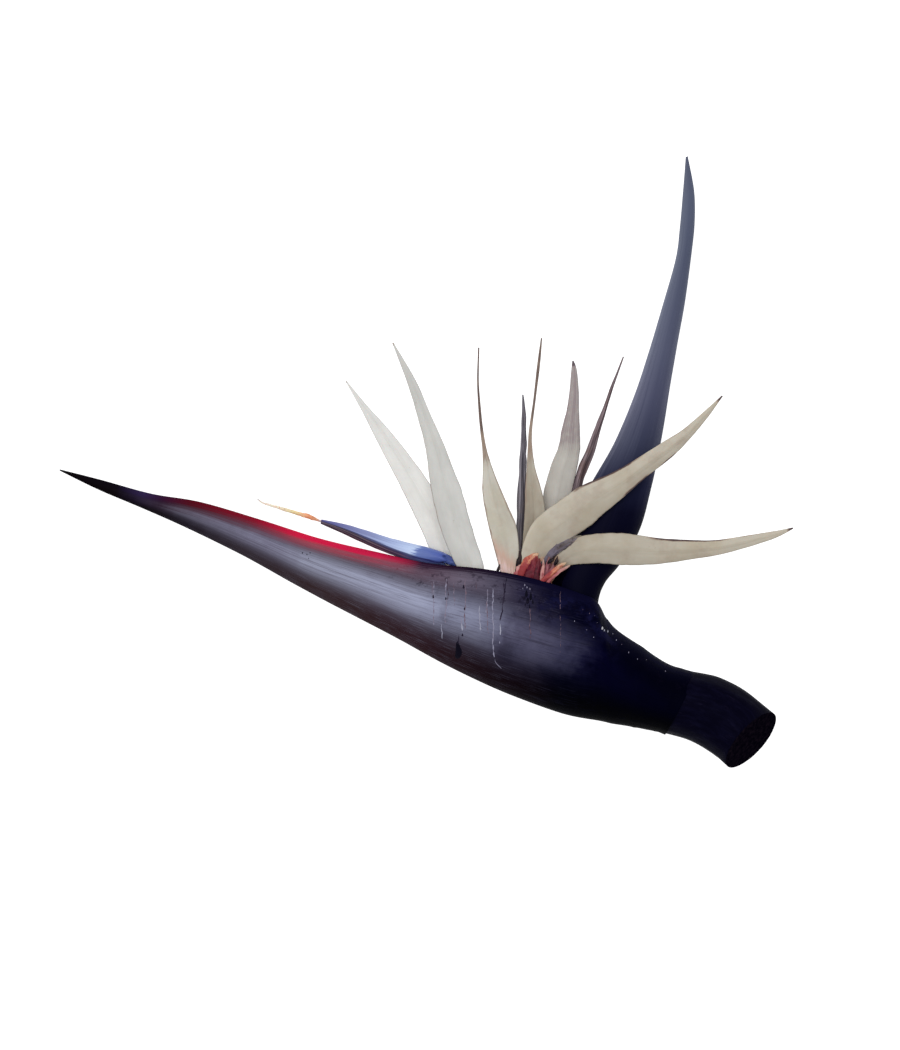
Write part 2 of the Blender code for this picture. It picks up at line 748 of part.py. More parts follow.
clear_scene()
MATERIALS = {name: make_material(name) for name in FINISHES}
FLOWER = new_collection("white_bird_of_paradise_flower")
CUTTERS = new_collection("cutters")

CORE_CUTTER = make_core_cutter(CUTTERS)
make_stem(FLOWER)
make_lower_bract(FLOWER, CUTTERS)
make_upper_bract(FLOWER, CORE_CUTTER)
for node, rows in OVARIES.items():
    ovary = make_tube(node, rows, OVARY_RINGS, OVARY_RESOLUTION, FLOWER, "flower_base")
    cut(ovary, CORE_CUTTER)
for node, form in SEPALS.items():
    make_blade(node, form, FLOWER, sepal_finish(node))
make_tongue(FLOWER)
make_tube("flower_1_style", STYLE, STYLE_RINGS, STYLE_RESOLUTION, FLOWER, "stigma")
for node, rows in DRIED_TONGUES.items():
    make_tube(node, rows, DRIED_RINGS, DRIED_RESOLUTION, FLOWER, "dried_petal")
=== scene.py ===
# %% [markdown]
# # White bird of paradise flower
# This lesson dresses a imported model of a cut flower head. The flower lies on its side on a pale table,
# and the camera looks straight down on it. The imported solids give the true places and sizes.
# Each one is replaced by a finer mesh that follows the same rows of measures, so nothing moves.
# X runs from the beak to the cut stalk, Y runs up along the second bract, and Z points at the camera.

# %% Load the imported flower
import math

import bmesh
import bpy
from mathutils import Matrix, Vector, noise
from mathutils.bvhtree import BVHTree


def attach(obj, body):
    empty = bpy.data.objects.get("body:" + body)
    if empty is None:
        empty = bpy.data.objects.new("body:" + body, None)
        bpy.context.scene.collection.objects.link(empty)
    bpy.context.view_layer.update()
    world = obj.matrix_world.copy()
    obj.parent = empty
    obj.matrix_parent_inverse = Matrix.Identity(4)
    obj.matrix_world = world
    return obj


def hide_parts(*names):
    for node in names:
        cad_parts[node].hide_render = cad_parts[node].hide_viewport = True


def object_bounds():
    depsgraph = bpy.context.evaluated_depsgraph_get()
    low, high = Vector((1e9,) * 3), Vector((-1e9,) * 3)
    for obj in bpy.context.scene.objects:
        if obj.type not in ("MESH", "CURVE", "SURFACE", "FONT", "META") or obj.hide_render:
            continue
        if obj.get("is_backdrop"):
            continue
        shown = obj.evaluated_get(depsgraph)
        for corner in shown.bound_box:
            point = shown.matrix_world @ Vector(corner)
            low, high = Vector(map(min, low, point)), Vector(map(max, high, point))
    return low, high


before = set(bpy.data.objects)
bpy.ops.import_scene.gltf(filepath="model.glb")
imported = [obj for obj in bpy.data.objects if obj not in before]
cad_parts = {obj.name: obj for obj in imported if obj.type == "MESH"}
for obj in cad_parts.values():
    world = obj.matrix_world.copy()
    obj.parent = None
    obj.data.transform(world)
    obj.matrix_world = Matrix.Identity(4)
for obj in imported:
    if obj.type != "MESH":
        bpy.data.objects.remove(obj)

CAD_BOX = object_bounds()
MM = 0.001
UP = Vector((0.0, 0.0, 1.0))
DOWN = Vector((0.0, 0.0, -1.0))


def tell_box(label, box):
    print(label, [round(c / MM, 1) for corner in box for c in corner], "mm")


tell_box("packed flower:", CAD_BOX)

# %% [markdown]
# ## The camera and the light
# The photograph is seen from far away, with almost no perspective, so a long lens stands high above
# the table. The colours are painted as they look on a screen, so the plain "Standard" view is used:
# a filmic curve would grey the white table. A wide, soft sun and a pale sky leave only faint shadows.

# %% Camera and light
PHOTO_HEIGHT = 651.0  # millimetres that the photograph's long side covers
PHOTO_CENTRE = (15.2, -39.4)
FOCUS_HEIGHT = 25.0  # the height at which that scale holds
LENS = 300.0
SENSOR = 36.0
FAR_CLIP = 4.0  # times the camera's distance
SUN_POWER = 1.9
SUN_SPREAD = math.radians(50.0)
SUN_TILT = (math.radians(-14.0), math.radians(-12.0), 0.0)
SKY_COLOUR = (0.94, 0.97, 1.0, 1.0)
SKY_POWER = 0.55


def set_camera():
    data = bpy.data.cameras.new("studio_camera")
    data.lens = LENS
    data.sensor_width = SENSOR
    distance = LENS / SENSOR * PHOTO_HEIGHT * MM
    data.clip_end = FAR_CLIP * distance
    camera = bpy.data.objects.new("studio_camera", data)
    camera.location = (PHOTO_CENTRE[0] * MM, PHOTO_CENTRE[1] * MM, distance + FOCUS_HEIGHT * MM)
    bpy.context.scene.collection.objects.link(camera)
    bpy.context.scene.camera = camera
    print("camera stands", round(distance, 2), "m above the flower")


def set_light():
    data = bpy.data.lights.new("soft_overhead", "SUN")
    data.energy = SUN_POWER
    data.angle = SUN_SPREAD
    sun = bpy.data.objects.new("soft_overhead", data)
    sun.rotation_euler = SUN_TILT
    bpy.context.scene.collection.objects.link(sun)
    sky = bpy.data.worlds.new("pale_room")
    sky.use_nodes = True
    background = sky.node_tree.nodes["Background"]
    background.inputs["Color"].default_value = SKY_COLOUR
    background.inputs["Strength"].default_value = SKY_POWER
    bpy.context.scene.world = sky
    bpy.context.scene.view_settings.view_transform = "Standard"


set_camera()
set_light()

# %% [markdown]
# ## A short way to write materials
# Every finish here is a Principled shader fed by a small net of nodes. Written out in full, each node
# takes five or six lines, so this class gives one short call to each kind. Skin that follows a leaf
# reads the piece's own UV map: U goes across or round the piece and V goes along it. Measures that
# a texture can't know, such as the distance from a margin, are stored on the mesh as attributes.

# %% Finish: one call a node
def tint(red, green, blue):
    """A colour chosen on the screen's scale of 0 to 255, made linear for the shader."""
    shares = [value / 255.0 for value in (red, green, blue)]
    linear = [s / 12.92 if s <= 0.04045 else ((s + 0.055) / 1.055) ** 2.4 for s in shares]
    return (*linear, 1.0)


class Finish:
    def __init__(self, name, **sockets):
        self.material = bpy.data.materials.new(name)
        self.material.use_nodes = True
        self.tree = self.material.node_tree
        self.shader = self.tree.nodes["Principled BSDF"]
        for socket, value in sockets.items():
            self.feed(socket.replace("_", " "), value)

    def wire(self, value, socket):
        if isinstance(value, bpy.types.NodeSocket):
            self.tree.links.new(value, socket)
        else:
            socket.default_value = value

    def feed(self, socket, value):
        self.wire(value, self.shader.inputs[socket])

    def node(self, kind, inputs, **settings):
        made = self.tree.nodes.new("ShaderNode" + kind)
        for key, value in settings.items():
            setattr(made, key, value)
        for key, value in inputs.items():
            self.wire(value, made.inputs[key])
        return made

    def noise(self, source, scale, detail=5.0, rough=0.6, shift=(0.0, 0.0, 0.0), warp=0.0):
        """A pattern on UV or Object coordinates, stretched so that it has its real grain."""
        coordinates = self.node("TexCoord", {}).outputs[source]
        stretch = scale if isinstance(scale, tuple) else (scale, scale, scale)
        moved = {"Vector": coordinates, "Scale": stretch, "Location": shift}
        return self.pattern(self.node("Mapping", moved).outputs["Vector"], detail, rough, warp)

    def pattern(self, vector, detail=5.0, rough=0.6, warp=0.0):
        values = {"Vector": vector, "Scale": 1.0, "Detail": detail, "Roughness": rough, "Distortion": warp}
        return self.node("TexNoise", values).outputs["Fac"]

    def joined(self, x, y, z):
        """Three measures as one place for a pattern."""
        return self.node("CombineXYZ", {"X": x, "Y": y, "Z": z}).outputs["Vector"]

    def attribute(self, name):
        return self.node("Attribute", {}, attribute_name=name).outputs["Fac"]

    def axis(self, letter):
        """The piece's own UV coordinate: X across or round the leaf, Y along it."""
        vector = self.node("TexCoord", {}).outputs["UV"]
        return self.node("SeparateXYZ", {"Vector": vector}).outputs[letter]

    def ramp(self, value, stops):
        """(place, grey) or (place, red, green, blue) for each stop along a value that runs from 0 to 1."""
        made = self.node("ValToRGB", {"Fac": value})
        elements = made.color_ramp.elements
        elements.remove(elements[1])
        for index, (place, *shade) in enumerate(stops):
            element = elements[0] if index == 0 else elements.new(place)
            element.position = place
            element.color = tint(*shade) if len(shade) == 3 else (*(shade * 3), 1.0)
        return made.outputs["Color"]

    def step(self, value, low, high, bottom=0.0, top=1.0):
        """Rises smoothly from bottom to top while value goes from low to high; low may be the larger."""
        values = {"Value": value, "From Min": low, "From Max": high, "To Min": bottom, "To Max": top}
        return self.node("MapRange", values, interpolation_type="SMOOTHSTEP").outputs["Result"]

    def math(self, operation, first, second):
        made = self.tree.nodes.new("ShaderNodeMath")
        made.operation = operation
        self.wire(first, made.inputs[0])
        self.wire(second, made.inputs[1])
        return made.outputs[0]

    def plus(self, first, second):
        return self.math("ADD", first, second)

    def times(self, first, second):
        return self.math("MULTIPLY", first, second)

    def ragged(self, value, pattern, reach):
        """The value moved up and down by a pattern, so that a border along it is uneven."""
        return self.plus(value, self.step(pattern, 0.3, 0.7, -reach, reach))

    def mix(self, amount, under, over):
        made = self.node("Mix", {"Factor": amount}, data_type="RGBA")
        self.wire(under, made.inputs[6])
        self.wire(over, made.inputs[7])
        return made.outputs[2]

    def coat(self, under, over, value, low, high, share=1.0):
        """Lays one colour over another while value goes from low to high, up to a share."""
        return self.mix(self.step(value, low, high, 0.0, share), under, over)

    def relief(self, height, depth_mm, strength):
        values = {"Height": height, "Distance": depth_mm * MM, "Strength": strength}
        self.feed("Normal", self.node("Bump", values).outputs["Normal"])

    def done(self, colour):
        """Feeds the finished colour to the shader."""
        self.feed("Base Color", colour)
        print(self.material.name, "has", len(self.tree.nodes), "nodes")
        return self


# %% [markdown]
# ## The table
# The table is one big plain square. It glows, as a light table does, so that it stays white
# next to the dark bracts and the flower's shadows stay faint.

# %% Lay the table
TABLE_SIZE = 40.0
TABLE_DROP = 0.2  # millimetres, so that what rests on the table never flickers with it


def lay_table():
    bm = bmesh.new()
    bmesh.ops.create_grid(bm, x_segments=1, y_segments=1, size=TABLE_SIZE)
    bmesh.ops.translate(bm, verts=bm.verts, vec=(0.0, 0.0, -TABLE_DROP * MM))
    mesh = bpy.data.meshes.new("table")
    bm.to_mesh(mesh)
    bm.free()
    table = bpy.data.objects.new("table", mesh)
    paper = Finish("white_paper", Roughness=0.9, Specular_IOR_Level=0.1, Emission_Strength=1.0)
    paper.feed("Emission Color", (1.0, 1.0, 1.0, 1.0))
    grains = paper.noise("Object", 900.0, detail=3.0)
    mesh.materials.append(paper.done(paper.mix(grains, tint(150, 150, 151), tint(156, 156, 156))).material)
    bpy.context.scene.collection.objects.link(table)
    table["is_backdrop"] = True


lay_table()

# %% [markdown]
# ## From rows of measures to a smooth skin
# Each piece of the flower is described by a few rows: where it is, and how wide it is there.
# A smooth curve through the rows gives every place between them. The skin itself starts as a flat
# grid, which a formula then bends into a boat, a tube or a blade. A closed form is the same grid
# rolled up, with its two edges welded and its ends filled. The grid's flat layout is kept as the UV
# map, so fibres painted in U and V always run along the leaf.

# %% Curves through rows
RUN_STEP = 0.05  # part of a row over which a direction is measured


def row_at(table, place):
    """The table's row at a fractional place, on a smooth curve through the rows."""
    last = len(table) - 1
    index = min(int(place), last - 1)
    t = place - index
    before = table[max(index - 1, 0)]
    start = table[index]
    end = table[index + 1]
    after = table[min(index + 2, last)]
    values = []
    for a, b, c, d in zip(before, start, end, after):
        curve = (2 * a - 5 * b + 4 * c - d) * t * t + (3 * b - a - 3 * c + d) * t ** 3
        values.append(b + 0.5 * ((c - a) * t + curve))
    return values


def run_at(table, place):
    last = len(table) - 1.0
    ahead = row_at(table, min(place + RUN_STEP, last))
    behind = row_at(table, max(place - RUN_STEP, 0.0))
    return Vector(ahead[:3]) - Vector(behind[:3])


def on_leaf(table, u, v):
    """The side from -1 to 1, the place along the rows, and the row there."""
    place = v * (len(table) - 1.0)
    return 2.0 * u - 1.0, place, row_at(table, place)


def row_ends(row):
    """A row's upper and lower end, from (x, y, x, y, middle z, ...)."""
    return Vector((row[0], row[1], row[4])), Vector((row[2], row[3], row[4]))


def row_depth(row):
    return math.dist(row[0:2], row[2:4])


def to_side(width, side):
    return UP * (width if side < 0.0 else -width)


# %% Soft steps, bells and grain
def smooth(value, low, high):
    """0 at low, 1 at high, and a soft S between them."""
    t = min(max((value - low) / (high - low), 0.0), 1.0)
    return t * t * (3.0 - 2.0 * t)


def bell(value, middle, spread):
    return math.exp(-((value - middle) / spread) ** 2)


def grain(*place):
    """Noise between about -1 and 1, always the same at the same place."""
    return noise.noise(Vector(place))


def layered_grain(first, second, *waves):
    """Noise in layers, each with its height, its waves along both measures, and its seed."""
    return sum(height * grain(first * a, second * b, seed) for height, a, b, seed in waves)


def round_grain(angle, waves, along, seed=0.0):
    """Noise round a tube, which meets itself."""
    return grain(math.cos(angle) * waves + seed, math.sin(angle) * waves, along)


# %% Bent grids and finished pieces
WELD = 0.001 * MM


def on_table(point):
    return Vector((point.x, point.y, max(point.z, 0.0))) * MM


def bend_grid(bm, columns, rows, bend, measures=(), closed=False):
    """Adds a grid to bm and bends it: bend(u, v) gives a point in millimetres and its measures."""
    layout = bm.loops.layers.uv.verify()
    stored = [bm.verts.layers.float.get(m) or bm.verts.layers.float.new(m) for m in measures]
    verts = bmesh.ops.create_grid(bm, x_segments=columns, y_segments=rows, size=0.5)["verts"]
    faces = list({face for vert in verts for face in vert.link_faces})
    for face in faces:
        for loop in face.loops:
            loop[layout].uv = (loop.vert.co.x + 0.5, loop.vert.co.y + 0.5)
    for vert in verts:
        point, values = bend(vert.co.x + 0.5, vert.co.y + 0.5)
        vert.co = on_table(point)
        for layer, value in zip(stored, values):
            vert[layer] = value
    if closed:
        bmesh.ops.remove_doubles(bm, verts=verts, dist=WELD)
        edges = {edge for face in faces if face.is_valid for edge in face.edges}
        ends = bmesh.ops.holes_fill(bm, edges=[e for e in edges if e.is_boundary], sides=0)["faces"]
        faces = [face for face in faces if face.is_valid] + ends
        bmesh.ops.recalc_face_normals(bm, faces=faces)


def add_piece(name, bm, finishes, slot, *nodes):
    """Makes the finished piece, which rides on the flower's one body and stands for its CAD nodes."""
    mesh = bpy.data.meshes.new(name)
    bm.to_mesh(mesh)
    bm.free()
    for finish in finishes:
        mesh.materials.append(finish.material)
    mesh.shade_smooth()
    piece = bpy.data.objects.new(name, mesh)
    bpy.context.scene.collection.objects.link(piece)
    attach(piece, "root")
    if nodes:
        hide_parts(*nodes)
    corners = [Vector(corner) / MM for corner in piece.bound_box]
    size = [round(max(c[i] for c in corners) - min(c[i] for c in corners), 1) for i in range(3)]
    print(name, len(mesh.polygons), "faces,", size, "mm")
    return piece


def give_wall(piece, thickness, offset, inside=0, rim=0):
    """Solidify, with the mesh's own measure "wall" as each point's share of the thickness."""
    group = piece.vertex_groups.new(name="wall")
    shares = piece.data.attributes["wall"].data
    for index, share in enumerate(shares):
        group.add([index], share.value, "REPLACE")
    wall = piece.modifiers.new("wall", "SOLIDIFY")
    wall.thickness = thickness * MM
    wall.offset = offset
    wall.vertex_group = group.name
    wall.material_offset = inside
    wall.material_offset_rim = rim


# %% [markdown]
# ## The lower bract
# The beak is one long leaf, folded along its keel into a boat. Its two margins almost meet along the
# beak, stand open where the flowers rise, and grow together behind the second bract into a sheath
# round the stalk. A folded leaf has a real inside, so the skin is one sheet from margin to margin
# and a Solidify modifier gives it its wall, thinner at the margins and in the narrow beak.

# %% Rows of the lower bract
# Where the lower bract's base meets the stalk, as a row of both tables
NECK = (165.9, -130.2, 146.6, -168.0, 24.0, 21.3)

# Lower bract, from the beak's tip to its base round the stalk:
# (top x, top y, keel x, keel y, middle z, half width, half gap of the slit)
LOWER_BRACT = [
    (-227.8, -4.7, -227.8, -5.6, 3.5, 0.5, 0.35),
    (-201.8, -11.3, -203.1, -17.7, 4.5, 2.2, 0.35),
    (-170.8, -19.8, -175.8, -29.1, 6.0, 4.0, 0.35),
    (-139.8, -25.1, -147.2, -41.9, 8.0, 6.3, 0.4),
    (-102.6, -36.0, -115.0, -57.7, 9.7, 8.6, 0.5),
    (-65.4, -47.8, -80.9, -76.6, 10.7, 11.2, 0.8),
    (-28.2, -56.6, -46.8, -94.5, 14.2, 14.8, 4.2),
    (2.8, -63.3, -15.8, -111.0, 18.8, 18.3, 9.2),
    (33.8, -66.3, 15.2, -127.4, 22.8, 22.0, 10.6),
    (64.8, -72.0, 49.3, -143.5, 25.6, 25.0, 12.0),
    (92.7, -80.5, 83.4, -155.9, 26.5, 25.9, 12.2),
    (108.8, -87.7, 108.2, -160.9, 26.3, 25.5, 11.6),
    (116.3, -102.0, 116.3, -162.6, 25.9, 24.5, 9.0),
    (133.0, -114.1, 128.0, -164.6, 25.2, 23.0, 6.0),
    (150.4, -125.4, 138.0, -166.5, 24.5, 21.8, 3.0),
    (*NECK, 1.0),
]
LOWER_GRID = (96, 260)
MOUTH_TURN = 10.3  # row where the margins begin to close behind the second bract
MOUTH_REACH = 0.75  # rows that they take to meet
MOUTH_FULLNESS = 1.45  # above 1 the flanks pull in towards the mouth
ROUND_START = 10.5  # row where the flanks begin to turn round
ROUND_ROWS = 4.0
LOWER_DENTS = ((0.35, 0.8, 2.3, 4.0), (0.1, 0.5, 26.0, 9.0))  # height, waves along and across, seed
DENT_FULL = 12.0  # half width from which the dents have their full height
MARGIN_CALM = 8  # a high power, so that the dents fade only right at the margins

# %% Wall and sheath of the lower bract
BRACT_WALL = 3.2
WALL_SHARE = 0.34  # the wall's share of the half width in the narrow beak
MARGIN_SHARE = 0.5  # the wall's share right at the margin
MARGIN_REACH = 9.0  # distance from the margin at which the wall is whole
SHEATH_EDGES = ((13.1, 0.25, 0.16), (14.45, 0.2, 0.12))  # row, rise and spread of the sheath's lines
NICK_ROW = 11.25  # the sheath's top dips just behind the second bract
NICK_DEPTH = 4.6
NICK_SPREAD = 0.38
NICK_SIDES = (0.6, 0.95)
SHEATH_SLIP = 2.4  # how far the sheath's thin end lies over the stalk
SHEATH_CLEAR = 0.4
SHEATH_THINNED = 0.9
SLIP_ROWS = 0.5
LOWER_MIDDLE = 20.0  # height between the two flanks, which tells the outside from the inside


# %% Bend the lower bract
def boat_point(row, side, top_half, fullness, swell=0.0):
    """Side runs from -1 at the near margin over 0 at the keel to 1 at the far margin."""
    top, keel = row_ends(row)
    half_depth = (top - keel) / 2.0
    angle = math.pi * (1.0 - abs(side))
    height = math.cos(angle)
    width = (row[5] + swell) * math.sin(angle)
    if height > 0.0:
        width = top_half + (row[5] + swell - top_half) * math.sin(angle) ** fullness
    reach = 1.0 + swell / half_depth.length
    return (top + keel) / 2.0 + half_depth * height * reach + to_side(width, side), height


def neck_direction():
    upper = Vector(NECK[0:2]).to_3d()
    lower = Vector(NECK[2:4]).to_3d()
    return (upper - lower).cross(UP).normalized()


def mouth_gap(place, gap):
    beyond = (place - MOUTH_TURN) / MOUTH_REACH
    if beyond <= 0.0:
        return gap
    return gap * math.sqrt(max(1.0 - beyond * beyond, 0.0))


def lower_swell(row, side, place, slip):
    """How far the skin stands out from the smooth boat: dents, the sheath's lines and its nick."""
    swell = sum(rise * bell(place, at, spread) for at, rise, spread in SHEATH_EDGES)
    dent = layered_grain(place, side, *LOWER_DENTS)
    swell += dent * min(row[5] / DENT_FULL, 1.0) * (1.0 - side ** MARGIN_CALM)
    swell -= NICK_DEPTH * bell(place, NICK_ROW, NICK_SPREAD) * smooth(abs(side), *NICK_SIDES)
    return swell + SHEATH_CLEAR * slip


def lower_bract_skin(u, v):
    side, place, row = on_leaf(LOWER_BRACT, u, v)
    turn = min(max((place - ROUND_START) / ROUND_ROWS, 0.0), 1.0)
    fullness = MOUTH_FULLNESS + (1.0 - MOUTH_FULLNESS) * turn
    base = len(LOWER_BRACT) - 1.0
    slip = smooth(place, base - SLIP_ROWS, base)
    swell = lower_swell(row, side, place, slip)
    point, height = boat_point(row, side, mouth_gap(place, row[6]), fullness, swell)
    point = point + neck_direction() * SHEATH_SLIP * slip
    depth = (1.0 - height) / 2.0
    below = depth * row_depth(row)
    wall = min(1.0, WALL_SHARE * row[5] / BRACT_WALL)
    wall *= MARGIN_SHARE + (1.0 - MARGIN_SHARE) * smooth(below, 0.0, MARGIN_REACH)
    wall *= 1.0 - SHEATH_THINNED * slip
    return point, (below, depth, wall)


def make_lower_bract():
    bm = bmesh.new()
    bend_grid(bm, *LOWER_GRID, lower_bract_skin, ("below", "depth", "wall"))
    bmesh.ops.remove_doubles(bm, verts=bm.verts, dist=WELD)
    middle = LOWER_MIDDLE * MM
    if sum(face.normal.z * (face.calc_center_median().z - middle) for face in bm.faces) < 0.0:
        bmesh.ops.reverse_faces(bm, faces=bm.faces)
    finishes = [paint_lower_bract(), paint_lining(), paint_margin()]
    piece = add_piece("lower_bract_leaf", bm, finishes, "bract_skin", "lower_bract")
    give_wall(piece, BRACT_WALL, -1.0, inside=1, rim=2)
    return piece


# %% [markdown]
# ### The finish of the lower bract
# The skin is waxy and finely lined. Its colour changes in two ways: along the leaf, from a brown-black
# beak over lilac-grey to the navy neck, and from the margin down to the keel, with a pale bloom and a
# painted sheen on the flank and painted shade over the keel's own brown. So each band of the leaf has
# its own colours along V, and the stored depth mixes the bands.
# The crimson edge keeps its width in millimetres, so it is drawn from the stored distance "below".

# %% Colours along the lower bract
# From the beak's tip at 0 to the neck at 1: (place, red, green, blue)
LOWER_SHADE = (
    (0.0, 8, 5, 7), (0.1, 9, 5, 7), (0.15, 34, 26, 38), (0.2, 52, 48, 60), (0.27, 72, 68, 82),
    (0.34, 78, 74, 86), (0.42, 74, 67, 80), (0.5, 66, 61, 74), (0.56, 56, 52, 67), (0.6, 36, 33, 50),
    (0.645, 8, 7, 27), (0.68, 2, 2, 20), (0.76, 1, 1, 16), (1.0, 1, 1, 12),
)
# The flank's pale waxy bloom together with a painted sheen, lightest where the light falls most
LOWER_BLOOM_AND_SHEEN = (
    (0.0, 10, 6, 8), (0.1, 13, 8, 10), (0.15, 52, 44, 56), (0.2, 94, 90, 106), (0.27, 114, 111, 131),
    (0.33, 144, 146, 166), (0.47, 150, 153, 176), (0.54, 124, 126, 148), (0.6, 84, 82, 104),
    (0.66, 56, 55, 78), (0.7, 20, 19, 44), (0.73, 3, 2, 26), (1.0, 1, 1, 14),
)
UPPER_BAND = (
    (0.0, 8, 5, 7), (0.1, 10, 6, 10), (0.14, 40, 27, 46), (0.2, 64, 24, 36), (0.27, 94, 48, 62),
    (0.33, 120, 76, 84), (0.4, 104, 75, 85), (0.47, 94, 76, 90), (0.51, 106, 95, 110), (0.55, 84, 78, 94),
    (0.59, 42, 38, 58), (0.63, 8, 7, 28), (0.7, 2, 2, 20), (1.0, 1, 1, 12),
)
# Painted shade: the keel's own brown-maroon, darkened where the leaf turns away from the light
KEEL_SHADE = (
    (0.0, 8, 4, 5), (0.12, 14, 9, 12), (0.2, 28, 22, 30), (0.27, 46, 38, 44), (0.36, 48, 32, 34),
    (0.48, 42, 22, 27), (0.58, 18, 6, 11), (0.66, 1, 1, 3), (1.0, 1, 1, 3),
)
MARGIN_GLOW = (
    (0.0, 8, 5, 7), (0.09, 14, 9, 16), (0.125, 44, 33, 68), (0.15, 44, 17, 44), (0.19, 78, 8, 22),
    (0.26, 124, 12, 34), (0.31, 196, 24, 62), (0.4, 208, 30, 74), (0.432, 150, 30, 60),
    (0.455, 44, 20, 42), (0.52, 28, 14, 32), (0.6, 12, 10, 34), (0.78, 7, 7, 32), (1.0, 3, 3, 22),
)
LINING_COLOURS = (
    (0.0, 60, 20, 26), (0.2, 120, 22, 40), (0.35, 196, 52, 84), (0.5, 176, 84, 96), (0.65, 134, 74, 82),
    (0.8, 70, 36, 48), (1.0, 40, 22, 34),
)
MARGIN_COLOURS = (
    (0.0, 22, 15, 17), (0.1, 40, 30, 50), (0.18, 112, 16, 32), (0.3, 190, 26, 60), (0.42, 190, 34, 70),
    (0.47, 118, 32, 52), (0.53, 86, 26, 40), (0.58, 30, 14, 30), (0.72, 6, 4, 18), (1.0, 5, 4, 18),
)
# From the margin at 0 to the keel at 1: (place, share of the bloom and its painted sheen)
BLOOM_AND_SHEEN_SHARE = (
    (0.0, 0.0), (0.23, 0.0), (0.33, 0.4), (0.43, 1.0), (0.52, 0.95), (0.63, 0.55), (0.74, 0.06),
    (0.88, 0.0),
)
FIBRE_SLANT = 0.07  # the fibres run a little across the flattened leaf


# %% The lower bract's skin in layers
class LowerSkin(Finish):
    """The skin from its ground colour to its glowing margin, with one method for each layer."""

    def __init__(self):
        super().__init__("lower_bract_skin", Specular_IOR_Level=0.006)
        self.along = self.axis("Y")
        self.depth = self.attribute("depth")
        self.lines = self.plus(self.axis("X"), self.times(self.along, FIBRE_SLANT))
        self.fibres = self.streaks(100.0, 7.0, 0.0, 8.0, 0.74)
        self.threads = self.streaks(420.0, 26.0, 0.0, 4.0, 0.65)
        self.clouds = self.noise("Object", 34.0, detail=6.0, rough=0.62)
        self.upper = self.ramp(self.along, UPPER_BAND)
        self.keel = self.ramp(self.along, KEEL_SHADE)
        ragged_along = self.ragged(self.ragged(self.along, self.clouds, 0.022), self.fibres, 0.012)
        self.bloom_and_sheen = self.ramp(ragged_along, LOWER_BLOOM_AND_SHEEN)
        shade = self.ramp(ragged_along, LOWER_SHADE)
        self.ground = self.mix(self.step(self.depth, 0.3, 0.1), shade, self.upper)
        mouth_side = self.step(self.depth, 0.42, 0.2)
        self.near_mouth = self.times(mouth_side, self.step(self.along, 0.36, 0.44))

    def streaks(self, across, along, seed, detail, rough, warp=0.0):
        """A pattern with many waves across the leaf and few along it."""
        place = self.joined(self.times(self.lines, across), self.times(self.along, along), seed)
        return self.pattern(place, detail, rough, warp)

    def with_bloom_and_sheen(self):
        """The ground with the pale bloom and painted sheen on the flank, and the keel darkened by painted
        shade.
        """
        flank = self.ramp(self.depth, BLOOM_AND_SHEEN_SHARE)
        uneven = self.times(flank, self.step(self.fibres, 0.3, 0.64, 0.62, 1.1))
        return self.coat(self.mix(uneven, self.ground, self.bloom_and_sheen), self.keel, self.depth, 0.62, 0.9)

    def lined(self, colour):
        """Clouds, then light and dark threads, each partly the colour of the bloom and painted sheen, or
        of the shaded keel.
        """
        for pattern, low, high, share, part, over in (
            (self.clouds, 0.52, 0.7, 0.4, 0.5, self.keel),
            (self.threads, 0.53, 0.66, 0.34, 0.55, self.bloom_and_sheen),
            (self.threads, 0.47, 0.34, 0.42, 0.5, self.keel),
            (self.fibres, 0.46, 0.34, 0.34, 0.55, self.keel),
        ):
            colour = self.coat(colour, self.mix(part, self.ground, over), pattern, low, high, share)
        return colour

    def frayed(self, colour):
        """Thin pale wisps of torn skin below the mouth."""
        torn = self.streaks(46.0, 20.0, 3.0, 6.0, 0.6, 0.8)
        wisps = self.times(self.step(torn, 0.485, 0.498), self.step(torn, 0.515, 0.502))
        wisps = self.times(wisps, self.times(self.near_mouth, self.step(self.along, 0.68, 0.6)))
        return self.mix(self.times(wisps, 0.22), colour, self.mix(0.5, self.bloom_and_sheen, tint(110, 100, 120)))

    def hazed(self, colour):
        """A blue haze on the upper flank of the sheath."""
        haze = self.noise("Object", 95.0, detail=7.0, rough=0.7, shift=(3.0, 1.0, 0.0))
        hazy = self.times(self.step(self.along, 0.57, 0.64), self.step(self.along, 0.84, 0.76))
        hazy = self.times(hazy, self.step(self.depth, 0.5, 0.15))
        return self.mix(self.times(self.step(haze, 0.42, 0.64, 0.0, 0.75), hazy), colour, tint(20, 20, 52))

    def blotted(self, colour):
        """Dark spots where sap has stained the skin."""
        spots = self.noise("Object", 190.0, detail=4.0, rough=0.7)
        blots = self.times(self.step(spots, 0.54, 0.68, 0.0, 0.75), self.near_mouth)
        return self.mix(blots, colour, self.mix(0.8, self.ground, tint(10, 6, 20)))

    def edged(self, colour):
        """The crimson margin, a few millimetres wide, and its soft border."""
        glow = self.ramp(self.along, MARGIN_GLOW)
        below = self.ragged(self.attribute("below"), self.fibres, 1.8)
        colour = self.coat(colour, self.mix(0.3, glow, self.upper), below, 11.0, 2.6, 0.5)
        return self.coat(colour, glow, below, 4.6, 1.8)


def paint_lower_bract():
    skin = LowerSkin()
    colour = skin.lined(skin.with_bloom_and_sheen())
    colour = skin.hazed(skin.frayed(colour))
    colour = skin.edged(skin.blotted(colour))
    skin.feed("Roughness", skin.step(skin.fibres, 0.3, 0.7, 0.55, 0.45))
    skin.relief(skin.mix(0.5, skin.fibres, skin.threads), 0.4, 0.5)
    return skin.done(colour)


